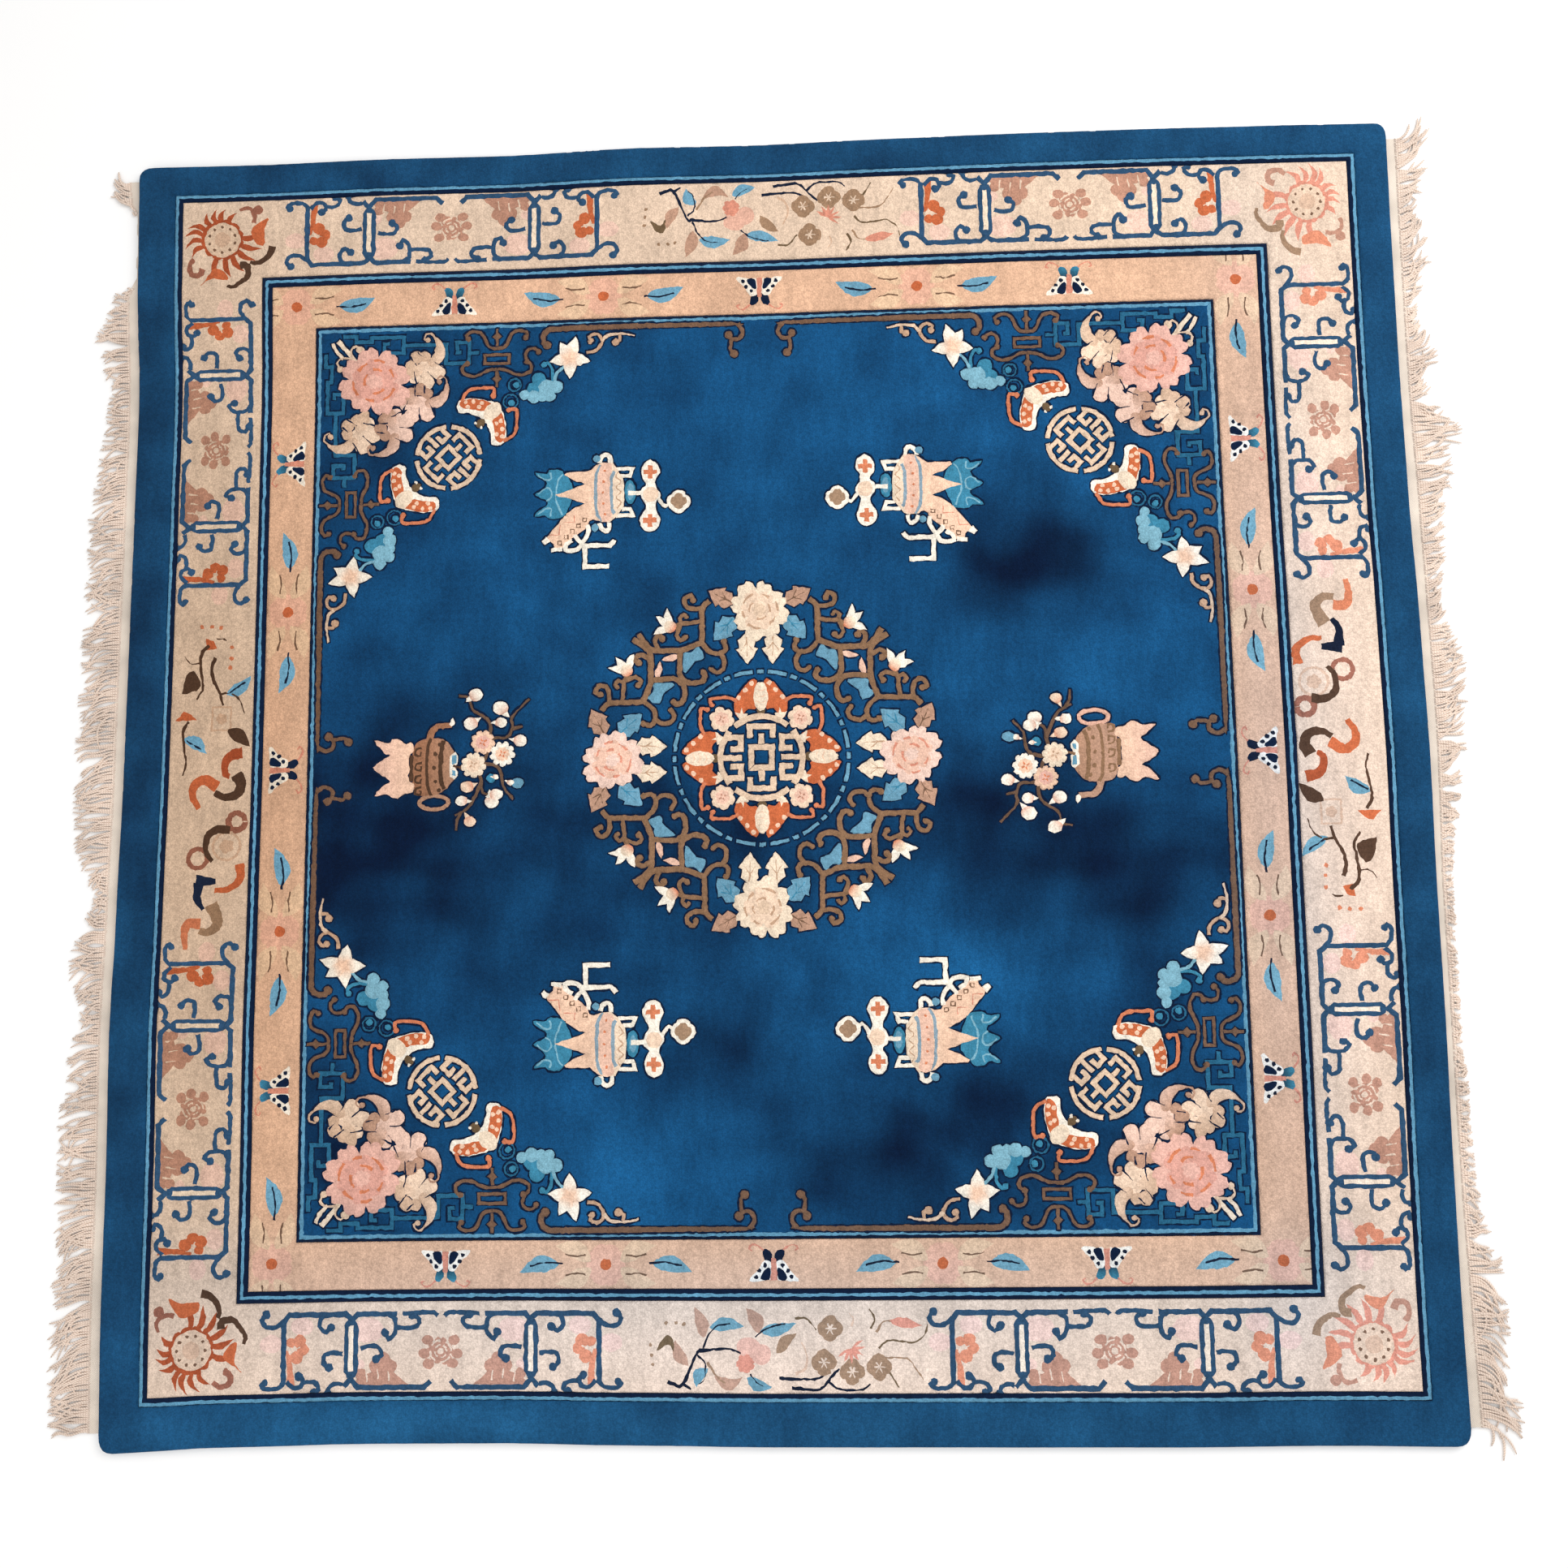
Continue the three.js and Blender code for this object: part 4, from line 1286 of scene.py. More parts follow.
def solid(name, points, top, faces, colours, border, rims, ground_colour):
    """Closes a pile surface with walls and a flat underside, and gives it its colours and bake layout."""
    floor = BACK_TOP + SEAT_GAP
    loops = np.unique(border)
    below = {int(k): len(points) + n for n, k in enumerate(loops)}
    places = {int(k): n for n, k in enumerate(loops)}
    under = np.array([below[int(k)] for k in border.ravel()]).reshape(-1, 2)
    walls = np.concatenate(
        [
            np.column_stack([border[:, 1], border[:, 0], under[:, 0]]),
            np.column_stack([border[:, 1], under[:, 0], under[:, 1]]),
        ]
    )
    rim_points = points[loops]
    rim_edges = np.array([(places[int(a)], places[int(b)]) for a, b in border])
    _, base, origin = triangulated(rim_points, rim_edges)
    base = np.array([origin[k][0] for k in base.ravel()]).reshape(-1, 3)[:, ::-1]
    middles = rim_points[base].mean(1)
    kept = inside(middles, rims[0])
    if len(rims) > 1:
        kept &= ~inside(middles, rims[1])
    base = base[kept] + len(points)

    xyz = np.concatenate(
        [
            np.column_stack([points.real, points.imag, top]),
            np.column_stack([rim_points.real, rim_points.imag, np.full(len(loops), floor)]),
        ]
    )
    all_faces = np.concatenate([faces, walls, base])
    plain_colour = np.tile(np.asarray(ground_colour), (len(walls) + len(base), 3, 1))
    all_colours = np.concatenate([colours, plain_colour])
    mesh = bpy.data.meshes.new(name)
    mesh.from_pydata((xyz * MM).tolist(), [], all_faces.tolist())
    paint = mesh.color_attributes.new("yarn", "FLOAT_COLOR", "CORNER")
    rgba = np.concatenate([all_colours, np.ones((*all_colours.shape[:2], 1))], axis=2)
    paint.data.foreach_set("color", rgba.ravel())
    bake_layout(mesh, xyz, all_faces, len(faces))
    mesh.shade_smooth()
    mesh.set_sharp_from_angle(angle=math.radians(70))
    mesh.validate()
    return mesh


def bake_layout(mesh, xyz, faces, tops):
    """A flat map of the top, with walls and underside in a small square beside it."""
    low, high = xyz[:, :2].min(0), xyz[:, :2].max(0)
    flat = (xyz[:, :2] - low) / (high - low).max()
    corners = flat[faces]
    corners[:tops] *= 0.93
    corners[tops:] = 0.945 + 0.05 * corners[tops:]
    layer = mesh.uv_layers.new(name="OFBake")
    layer.uv.foreach_set("vector", corners.ravel())


# Painted light and shade of the leaning blue pile: soft patches of nap painted darker or lighter, with their
# two radii and turn

NAP_SHADE_GROUND = 0.53
NAP_SHADE_PATCHES = [
    (490 + 375j, 170, 110, 0, -0.52), (680 - 230j, 230, 130, 12, -0.36), (470 - 90j, 180, 120, 0, -0.34),
    (-100 - 100j, 420, 130, 0, -0.30), (-760 - 60j, 240, 160, 0, -0.42), (-730 - 250j, 200, 130, 0, -0.22),
    (-350 - 330j, 340, 150, 0, -0.16), (-110 - 560j, 120, 90, 0, -0.34), (450 - 630j, 230, 130, 0, -0.36),
    (180 - 770j, 220, 130, 0, -0.36), (-790 - 690j, 160, 140, 0, -0.40), (-800 + 620j, 180, 240, 0, -0.26),
    (-180 + 330j, 150, 120, 0, -0.14), (700 - 430j, 90, 90, 0, -0.24), (800 + 790j, 190, 190, 0, -0.14),
    (-600 + 100j, 260, 110, 0, -0.14), (290 - 340j, 170, 110, 10, 0.26), (430 - 390j, 110, 80, 0, 0.26),
    (-230 - 740j, 150, 120, 0, 0.30), (600 + 130j, 150, 80, 0, 0.16), (150 + 700j, 260, 160, 0, 0.08),
    (0 - 200j, 900, 300, 0, -0.06), (-450 + 780j, 420, 130, 0, -0.09), (-1190 + 200j, 60, 800, 0, -0.22),
    (-1190 - 800j, 60, 400, 0, -0.06),
    (-700 - 1185j, 420, 50, 0, 0.38), (300 - 1185j, 500, 50, 0, 0.14), (200 + 1185j, 260, 50, 0, -0.10),
    (-850 + 1185j, 260, 50, 0, -0.12), (1190 - 400j, 50, 500, 0, -0.08),
]
NAP_SHADE_DRIFT = [(26, 0.0061, 0.0038, 0.6), (19, -0.0094, 0.0117, 2.1), (12, 0.0213, 0.0161, 4.4)]
NAP_SHADE_RIPPLES = [(0.05, 0.031, 0.013, 0.4), (0.04, -0.019, 0.034, 1.9), (0.03, 0.057, -0.021, 3.0),
               (0.03, 0.012, 0.071, 5.2)]
# Painted light and shade on the pale wool, darker towards the left and top, cooler towards the bottom and
# right and lighter there on the main border: centre, two radii, and the change in red, green and blue
PAINTED_LIGHT_PATCHES = [
    (-1080 + 0j, 300, 1100, (-0.26, -0.32, -0.38)),
    (0 - 930j, 1300, 110, (-0.20, -0.10, 0.04)),
    (0 - 1080j, 1300, 130, (0.06, 0.14, 0.30)),
    (925 - 100j, 110, 1100, (-0.26, -0.16, 0.0)),
    (1080 - 100j, 130, 1100, (0.06, 0.08, 0.16)),
    (-300 + 1020j, 900, 260, (-0.05, -0.07, -0.08)),
]


def soft_spot(z, centre, along_x, along_y, turn=0.0):
    """A patch that fades out softly from its centre."""
    local = (z - centre) * cmath.exp(-1j * math.radians(turn))
    return np.exp(-((local.real / along_x) ** 2) - (local.imag / along_y) ** 2)


def nap_shade_at(z):
    """The painted light and shade of the leaning blue pile at a place, from 0 to 1."""
    drift = sum(reach * np.sin(z.real * x + z.imag * y + start) for reach, x, y, start in NAP_SHADE_DRIFT)
    z = z + drift * cmath.exp(0.9j)
    ripples = sum(height * np.sin(z.real * x + z.imag * y + start) for height, x, y, start in NAP_SHADE_RIPPLES)
    patches = sum(shade * soft_spot(z, *place) for *place, shade in NAP_SHADE_PATCHES)
    return np.clip(NAP_SHADE_GROUND + ripples + patches, 0.03, 1.0)


def painted_light_at(z):
    """The painted light and shade on pale wool at a place, as factors of red, green and blue."""
    return 1 + sum(soft_spot(z, *place)[..., None] * np.array(change) for *place, change in PAINTED_LIGHT_PATCHES)


# Finishes

def linear(code):
    """An sRGB hex colour as linear red, green and blue."""
    srgb = np.array([int(code[k : k + 2], 16) for k in (0, 2, 4)]) / 255
    return np.where(srgb <= 0.04045, srgb / 12.92, ((srgb + 0.055) / 1.055) ** 2.4)


def node(tree, kind, inputs=None, **settings):
    """A shader node with its settings, its values and what is linked into it."""
    made = tree.nodes.new("ShaderNode" + kind)
    for key, value in settings.items():
        setattr(made, key, value)
    for key, value in (inputs or {}).items():
        if isinstance(value, bpy.types.NodeSocket):
            tree.links.new(value, made.inputs[key])
        else:
            made.inputs[key].default_value = value
    return made


def finish_material(name, roughness, sheen):
    """A new material, its node tree and its shader."""
    material = bpy.data.materials.new(name)
    material.use_nodes = True
    tree = material.node_tree
    shader = tree.nodes["Principled BSDF"]
    shader.inputs["Roughness"].default_value = roughness
    shader.inputs["Specular IOR Level"].default_value = 0.08
    shader.inputs["Sheen Weight"].default_value = sheen
    shader.inputs["Sheen Roughness"].default_value = 0.5
    return material, tree, shader


def toned(tree, colour, factor):
    """A colour times a grey factor."""
    mix = node(tree, "Mix", {0: 1.0, 6: colour, 7: factor}, data_type="RGBA", blend_type="MULTIPLY")
    return mix.outputs[2]


def mapped(tree, value, low, high, out_low, out_high):
    """A value mapped from one range to another."""
    inputs = {"Value": value, "From Min": low, "From Max": high, "To Min": out_low, "To Max": out_high}
    return node(tree, "MapRange", inputs).outputs["Result"]


def wool_material(sizes):
    """Clipped wool: dyed yarn with streaky dye lots, a fine grain and a tuft for every knot, each tuft
    painted lighter in its middle and darker at its edge.
    """
    material, tree, shader = finish_material("clipped_wool", 1.0, 0.03)
    place = node(tree, "TexCoord").outputs["Object"]
    yarn = node(tree, "Attribute", attribute_name="yarn").outputs["Color"]
    rows = node(tree, "Mapping", {"Vector": place, "Scale": (3.4, 1.0, 1.0)}).outputs["Vector"]
    dye_lots = node(tree, "TexNoise", {"Vector": rows, "Scale": 16.0, "Detail": 5.0}).outputs["Fac"]
    clouds = node(tree, "TexNoise", {"Vector": place, "Scale": 9.0, "Detail": 5.0}).outputs["Fac"]
    tufts = node(
        tree, "TexVoronoi", {"Vector": place, "Scale": 1 / sizes.knot_pitch, "Randomness": 0.8}
    )
    fibres = node(tree, "TexNoise", {"Vector": place, "Scale": 700.0, "Detail": 3.0}).outputs["Fac"]
    grain = node(tree, "TexNoise", {"Vector": place, "Scale": 130.0, "Detail": 3.0}).outputs["Fac"]
    colour = toned(tree, yarn, mapped(tree, dye_lots, 0.3, 0.7, 0.9, 1.1))
    colour = toned(tree, colour, mapped(tree, grain, 0.3, 0.7, 0.87, 1.13))
    colour = toned(tree, colour, mapped(tree, clouds, 0.3, 0.7, 0.92, 1.08))
    # painted light and shade: each tuft lighter in its middle and darker towards its edges, where the tufts
    # meet
    colour = toned(tree, colour, mapped(tree, tufts.outputs["Distance"], 0.1, 0.8, 1.08, 0.78))
    tree.links.new(colour, shader.inputs["Base Color"])
    tuft_bump = node(
        tree, "Bump", {"Height": tufts.outputs["Distance"], "Strength": 0.55, "Distance": 0.002}, invert=True
    )
    fibre_bump = node(
        tree, "Bump", {"Height": fibres, "Strength": 0.4, "Distance": 0.001,
                       "Normal": tuft_bump.outputs["Normal"]}
    )
    tree.links.new(fibre_bump.outputs["Normal"], shader.inputs["Normal"])
    return material


def back_material(sizes):
    """The underside: rows of flat knots and weft in duller colours, with painted shade in the hollows between
    the knots.
    """
    material, tree, shader = finish_material("woven_foundation", 0.95, 0.05)
    place = node(tree, "TexCoord").outputs["Object"]
    yarn = node(tree, "Attribute", attribute_name="yarn").outputs["Color"]
    wave = {"Vector": place, "Scale": 0.31 / sizes.knot_pitch, "Distortion": 0.6, "Detail": 2.0}
    rows = node(tree, "TexWave", wave, bands_direction="Y").outputs["Fac"]
    columns = node(tree, "TexWave", wave, bands_direction="X").outputs["Fac"]
    knots = node(tree, "Math", {0: rows, 1: columns}, operation="MULTIPLY").outputs["Value"]
    speckle = node(tree, "TexNoise", {"Vector": place, "Scale": 60.0, "Detail": 4.0}).outputs["Fac"]
    # painted shade: darker in the hollows between the knots
    colour = toned(tree, yarn, mapped(tree, knots, 0.0, 1.0, 0.62, 1.0))
    colour = toned(tree, colour, mapped(tree, speckle, 0.3, 0.7, 0.85, 1.1))
    tree.links.new(colour, shader.inputs["Base Color"])
    bump = node(tree, "Bump", {"Height": knots, "Strength": 0.6, "Distance": 0.001})
    tree.links.new(bump.outputs["Normal"], shader.inputs["Normal"])
    return material


def cotton_material(name, colour, ply_scale, sheen=0.05):
    """Unbleached cotton, twisted in plies along the v of its strand map."""
    material, tree, shader = finish_material(name, 0.9, sheen)
    strand = node(tree, "UVMap", uv_map="strand").outputs["UV"]
    place = node(tree, "TexCoord").outputs["Object"]
    twist = {"Vector": strand, "Scale": ply_scale, "Distortion": 0.4, "Detail": 1.0}
    plies = node(tree, "TexWave", twist, bands_direction="DIAGONAL").outputs["Fac"]
    dust = node(tree, "TexNoise", {"Vector": place, "Scale": 14.0, "Detail": 5.0}).outputs["Fac"]
    base = (*colour, 1.0)
    shade = toned(tree, base, mapped(tree, plies, 0.0, 1.0, 0.74, 1.0))
    shade = toned(tree, shade, mapped(tree, dust, 0.3, 0.7, 0.8, 1.06))
    tree.links.new(shade, shader.inputs["Base Color"])
    bump = node(tree, "Bump", {"Height": plies, "Strength": 0.5, "Distance": 0.001})
    tree.links.new(bump.outputs["Normal"], shader.inputs["Normal"])
    return material


def plain_material(name, colour, roughness):
    """The floor."""
    material, _, shader = finish_material(name, roughness, 0.0)
    shader.inputs["Base Color"].default_value = (*colour, 1.0)
    return material


# Webs and fringe

STRAND_SIDES = 5
STRAND_STATIONS = 10
# Along a warp end from its far to its near corner: share of the way, reach of the fringe from the
# pile's edge in mm, share of the web that is left, and how far the ends are swept towards the near side
FRINGE_LAY = {
    "left": [
        (0, 66, 1, -40), (0.02, 60, 0.8, -20), (0.03, 0, 0.25, 0), (0.085, 0, 0.25, 0), (0.1, 52, 1, 4),
        (0.136, 92, 1, 6), (0.176, 62, 1, 10), (0.27, 96, 1, 12), (0.39, 98, 1, 14), (0.54, 110, 1, 8),
        (0.59, 48, 1, 4), (0.645, 92, 1, 8), (0.68, 62, 1, 10), (0.73, 96, 1, 14), (1, 108, 1, 18),
    ],
    "right": [
        (0, 110, 0.9, -34), (0.055, 52, 0.9, -34), (0.1, 88, 0.9, -34), (0.152, 44, 0.9, -28),
        (0.19, 84, 0.9, -24), (0.21, 54, 0.9, -18), (0.245, 112, 0.9, -6), (0.3, 76, 1, -14),
        (0.385, 50, 0.9, -20), (0.44, 94, 0.9, -22), (0.54, 54, 0.8, -6), (0.59, 34, 0.7, 4),
        (0.72, 34, 0.7, 10), (0.85, 50, 0.8, 16), (0.9, 92, 0.9, 32), (1, 106, 1, 34),
    ],
}
WEB_WIDTH = 24.0
WEB_COTTON = "efe0d0"
STRAND_COTTON = "f2dccb"
WEB_THICKNESS = 3.2
WEB_ROWS = 6
SHORT_STRANDS = 0.15
CLUMP = 8  # strands that cling together
CLING = 0.35  # how far they close up at their tips
CLUMP_SWING = 9.0  # degrees


def warp_end(outline, sign):
    """The edge of the pile at a warp end, as x for a y, and its far and near corner."""
    on = outline[(sign * outline.real > 0.95 * HALF) & (np.abs(outline.imag) < 0.985 * HALF)]
    on = on[np.argsort(on.imag)]
    return on.imag, on.real


def lay_at(side, share):
    """Reach, web share and sweep at shares of the way along a warp end."""
    table = np.array(FRINGE_LAY[side])
    return [np.interp(share, table[:, 0], column) for column in table[:, 1:].T]


def grid_faces(rows, columns, offset=0):
    """Four-sided faces of a grid of points."""
    k = np.arange(rows * columns).reshape(rows, columns) + offset
    return np.column_stack([k[:-1, :-1].ravel(), k[1:, :-1].ravel(), k[1:, 1:].ravel(), k[:-1, 1:].ravel()])


def web_mesh(name, side, sign, outline, rng):
    """A ribbed strip of plain weave along a warp end, frayed along its outer edge."""
    edge_y, edge_x = warp_end(outline, sign)
    y = np.linspace(edge_y[0], edge_y[-1], 420)
    _, web, _ = lay_at(side, (edge_y[-1] - y) / (edge_y[-1] - edge_y[0]))
    fray = np.repeat(rng.normal(0, 1.2, 105), 4)
    width = np.maximum(WEB_WIDTH * web + fray, 3)
    across = np.linspace(0, 1, WEB_ROWS)
    x = np.interp(y, edge_y, edge_x)[:, None] + sign * (1 + width[:, None] * across)
    ribs = 0.35 * np.cos(np.pi * np.arange(WEB_ROWS))
    top = WEB_THICKNESS + ribs + rng.normal(0, 0.15, (len(y), WEB_ROWS))
    upper = np.stack([x, np.repeat(y[:, None], WEB_ROWS, 1), top], -1)
    lower = upper.copy()
    lower[..., 2] = 0.4
    count = len(y) * WEB_ROWS
    faces = grid_faces(len(y), WEB_ROWS)
    k = np.arange(count).reshape(len(y), WEB_ROWS)
    loop = np.concatenate([k[0, :-1], k[:-1, -1], k[-1, :0:-1], k[:0:-1, 0]])
    after = np.roll(loop, -1)
    wall = np.column_stack([loop, after, after + count, loop + count])
    if sign > 0:
        faces, wall = faces[:, ::-1], wall[:, ::-1]
    quads = np.concatenate([faces[:, ::-1], faces + count, wall[:, ::-1]])
    xyz = np.concatenate([upper.reshape(-1, 3), lower.reshape(-1, 3)])
    mesh = bpy.data.meshes.new(name)
    mesh.from_pydata((xyz * MM).tolist(), [], quads.tolist())
    layer = mesh.uv_layers.new(name="strand")
    layer.uv.foreach_set("vector", (xyz[quads][..., :2] / 5.0).ravel())
    mesh.shade_smooth()
    mesh.set_sharp_from_angle(angle=math.radians(50))
    return mesh


def strand_lines(side, sign, outline, count, rng):
    """Centre lines of the loose warp ends, as strands by stations by x, y and z."""
    edge_y, edge_x = warp_end(outline, sign)
    share = (np.arange(count) + rng.uniform(0.2, 0.8, count)) / count
    reach, web, sweep = lay_at(side, share)
    y = edge_y[-1] + share * (edge_y[0] - edge_y[-1])
    root_x = np.interp(y, edge_y, edge_x) + sign * (WEB_WIDTH * web - 4)
    length = reach - WEB_WIDTH * web + 4
    kept = length > 12
    cut = np.where(rng.random(count) < SHORT_STRANDS, rng.uniform(0.5, 0.85, count),
                   rng.uniform(0.94, 1.0, count))
    length = (length * cut)[kept]
    clump = np.arange(count) // CLUMP
    swing = np.radians(sweep + rng.normal(0, 13, count) + rng.normal(0, CLUMP_SWING, count)[clump])[kept]
    length *= rng.uniform(0.85, 1.04, count)[clump][kept]
    clump_y = np.array([y[clump == k].mean() for k in range(clump[-1] + 1)])[clump]
    gather = (CLING * (clump_y - y))[kept]
    s = np.linspace(0, 1, STRAND_STATIONS)
    wave = rng.uniform(1.0, 7.0, len(length))[:, None] * np.sin(
        s * rng.uniform(3, 8, len(length))[:, None] + rng.uniform(0, 6.28, len(length))[:, None]
    ) * s
    run = length[:, None] * s
    x = root_x[kept][:, None] + sign * run * np.cos(swing[:, None] * s)
    y = y[kept][:, None] + gather[:, None] * s**0.7 - run * np.sin(swing[:, None] * s) + wave
    hump = rng.uniform(0, 3.2, len(length))[:, None] * np.sin(np.pi * s) ** 2
    return np.stack([x, y, 2.3 + hump + 0 * x], -1)


def strands_mesh(name, lines, rng):
    """Round tapering strands along lines, joined in one mesh."""
    count, stations, _ = lines.shape
    run = np.gradient(lines, axis=1)
    run /= np.linalg.norm(run, axis=2, keepdims=True)
    side = np.cross(run, (0.0, 0.0, 1.0))
    side /= np.linalg.norm(side, axis=2, keepdims=True)
    rise = np.cross(side, run)
    s = np.linspace(0, 1, stations)
    radius = rng.uniform(1.9, 2.6, count)[:, None] * np.interp(s, (0, 0.85, 1), (1.0, 0.85, 0.45))
    angle = 2 * np.pi * np.arange(STRAND_SIDES) / STRAND_SIDES
    ring = np.cos(angle)[:, None] * side[:, :, None, :] + np.sin(angle)[:, None] * rise[:, :, None, :]
    xyz = lines[:, :, None, :] + radius[..., None, None] * ring
    xyz[..., 2] = np.maximum(xyz[..., 2], 0.3)
    k = np.arange(count * stations * STRAND_SIDES).reshape(count, stations, STRAND_SIDES)
    a, b = k[:, :-1], k[:, 1:]
    quads = np.stack([a, np.roll(a, -1, 2), np.roll(b, -1, 2), b], -1).reshape(-1, 4)
    caps = [*k[:, 0, ::-1].tolist(), *k[:, -1].tolist()]
    mesh = bpy.data.meshes.new(name)
    mesh.from_pydata((xyz.reshape(-1, 3) * MM).tolist(), [], quads.tolist() + caps)
    reach = np.linalg.norm(np.diff(lines, axis=1), axis=2).cumsum(1)
    reach = np.concatenate([np.zeros((count, 1)), reach], 1) / 9.0
    around = np.arange(STRAND_SIDES + 1) / STRAND_SIDES
    u0, u1 = around[:-1], around[1:]
    low, high = reach[:, :-1, None], reach[:, 1:, None]
    u = np.broadcast_to(np.stack([u0, u1, u1, u0], -1), (count, stations - 1, STRAND_SIDES, 4))
    v = np.broadcast_to(np.stack([low, low, high, high], -1), (count, stations - 1, STRAND_SIDES, 4))
    uv = np.concatenate([np.stack([u, v], -1).reshape(-1, 2), np.zeros((len(caps) * STRAND_SIDES, 2))])
    layer = mesh.uv_layers.new(name="strand")
    layer.uv.foreach_set("vector", uv.ravel())
    mesh.shade_smooth()
    return mesh


# Bands of pile from the edge to the field: name, where it starts and ends, ground, stripe place and width

BANDS = [
    ("outer_border_pile", 0.0, 69.0, "blue_edge", ()),
    ("outer_guard_pile", 69.0, 84.0, "navy", ((73.2, 6.4),)),
    ("main_border_pile", 84.0, 244.0, "sand", ()),
    ("middle_guard_pile", 244.0, 265.0, "navy", ((254.5, 5.6),)),
    ("inner_border_pile", 265.0, 351.0, "gold", ()),
]
FIELD_START = 351.0
INNER_GUARD = ((357.0, 12.0, "navy"), (360.2, 6.4, "guard_blue"))
BAND_GAP = 0.2
PLANS = {"main_border_pile": main_border_plan, "inner_border_pile": inner_border_plan}


class RugSizes(bpy.types.PropertyGroup):
    """Sizes of the pile's finish."""

    carving: FloatProperty(
        name="Carving", description="Depth of the carved lines", default=2.2 * MM, unit="LENGTH"
    )
    groove: FloatProperty(
        name="Groove", description="Depth of the groove between bands", default=2.5 * MM, unit="LENGTH"
    )
    knot_pitch: FloatProperty(
        name="Knot pitch", description="Distance from knot to knot", default=3.4 * MM, unit="LENGTH"
    )
    strands: IntProperty(name="Strands", description="Loose warp ends on each side", default=620, min=10)


class RugYarns(bpy.types.PropertyGroup):
    """Colours of the dyed yarns and of the painted nap shade."""

    __annotations__ = {
        name: FloatVectorProperty(
            name=name.replace("_", " ").capitalize(),
            description="Colour of the " + name.replace("_", " ") + " yarn",
            subtype="COLOR",
            default=tuple(linear(code)),
        )
        for name, code in YARNS.items()
    }


def settings():
    """The rug's sizes, and its colours as arrays by yarn."""
    scene = bpy.context.scene
    return scene.rug_sizes, {name: np.array(getattr(scene.rug_yarns, name)) for name in YARNS}


def placed_piece(name, mesh, material, node_name):
    """A finished mesh as a piece of the rug."""
    if not mesh.polygons:
        raise RuntimeError(f"{name} has no faces")
    mesh.materials.append(material)
    piece = bpy.data.objects.new(name, mesh)
    bpy.context.scene.collection.objects.link(piece)
    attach(piece, BODY)
    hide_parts(node_name)
    return piece


def shared_material(name, make):
    """The material of that name, made once."""
    return bpy.data.materials.get(name) or make()


class RUG_OT_knot_borders(bpy.types.Operator):
    """Knots the borders and guard stripes"""

    bl_idname = "rug.knot_borders"
    bl_label = "Knot borders"

    def execute(self, context):
        sizes, dye = settings()
        wool = shared_material("clipped_wool", lambda: wool_material(sizes))
        edge = pile_outline()
        move = edge_wander(edge)
        for name, start, end, ground, stripes in BANDS:
            outline = divided(edge, BAND_STEP) if start == 0 else move(band_line(start + BAND_GAP))
            hole = move(band_line(end - BAND_GAP))
            plan = [plain(stripe_line(inset, width), "guard_blue") for inset, width in stripes]
            plan += PLANS[name]() if name in PLANS else []
            mesh = knotted(name, outline, hole, turned(plan, move), ground, sizes, dye, rounded=start == 0)
            placed_piece(name, mesh, wool, "pile_body")
        return {"FINISHED"}


def stripe_line(inset, width):
    """A square stripe that lies this far in from the edge of the pile."""
    return ribbon(band_line(inset), width, square=True, closed=True)


class RUG_OT_knot_field(bpy.types.Operator):
    """Knots the field with its inner guard, corner ornaments and medallion"""

    bl_idname = "rug.knot_field"
    bl_label = "Knot field"

    def execute(self, context):
        sizes, dye = settings()
        wool = shared_material("clipped_wool", lambda: wool_material(sizes))
        move = edge_wander(pile_outline())
        guard = [patch(stripe_line(inset, width), yarn) for inset, width, yarn in INNER_GUARD]
        plan = turned(guard + field_plan(), move)
        outline = move(band_line(FIELD_START + BAND_GAP))
        mesh = knotted("field_pile", outline, None, plan, "blue", sizes, dye)
        placed_piece("field_pile", mesh, wool, "pile_body")
        return {"FINISHED"}


class RUG_OT_weave_back(bpy.types.Operator):
    """Weaves the foundation that the pile is knotted on"""

    bl_idname = "rug.weave_back"
    bl_label = "Weave back"

    def execute(self, context):
        sizes, dye = settings()
        edge = pile_outline()
        move = edge_wander(edge)
        outline = grown(divided(edge, BAND_STEP), -1.5)
        mesh = back_mesh("woven_back", outline, move, dye)
        material = shared_material("woven_foundation", lambda: back_material(sizes))
        placed_piece("woven_back", mesh, material, "pile_body")
        return {"FINISHED"}


def back_mesh(name, outline, move, dye):
    """A thin slab whose underside shows the bands in duller colours."""
    lines = [move(band_line(start)) for _, start, *_ in BANDS[1:]] + [move(band_line(FIELD_START))]
    grounds = [ground for _, _, _, ground, _ in BANDS] + ["blue"]
    points, faces, _ = triangulated(*ring_edges([outline, *lines]))
    middles = points[faces].mean(1)
    kept = inside(middles, outline)
    faces, middles = faces[kept], middles[kept]
    band = sum(inside(middles, line).astype(int) for line in lines)
    dull = np.array([0.75 * dye[ground] + 0.06 for ground in grounds])
    count = len(points)
    _, _, _, border, _ = edge_pairs(faces)
    top = np.column_stack([points.real, points.imag, np.full(count, BACK_TOP)])
    bottom = np.column_stack([points.real, points.imag, np.zeros(count)])
    walls = np.concatenate(
        [
            np.column_stack([border[:, 1], border[:, 0], border[:, 0] + count]),
            np.column_stack([border[:, 1], border[:, 0] + count, border[:, 1] + count]),
        ]
    )
    all_faces = np.concatenate([faces, faces[:, ::-1] + count, walls])
    mesh = bpy.data.meshes.new(name)
    mesh.from_pydata((np.concatenate([top, bottom]) * MM).tolist(), [], all_faces.tolist())
    colours = np.concatenate([dull[band], dull[band], np.tile(dull[0], (len(walls), 1))])
    rgba = np.concatenate([np.repeat(colours, 3, axis=0), np.ones((3 * len(all_faces), 1))], axis=1)
    mesh.color_attributes.new("yarn", "FLOAT_COLOR", "CORNER").data.foreach_set("color", rgba.ravel())
    return mesh


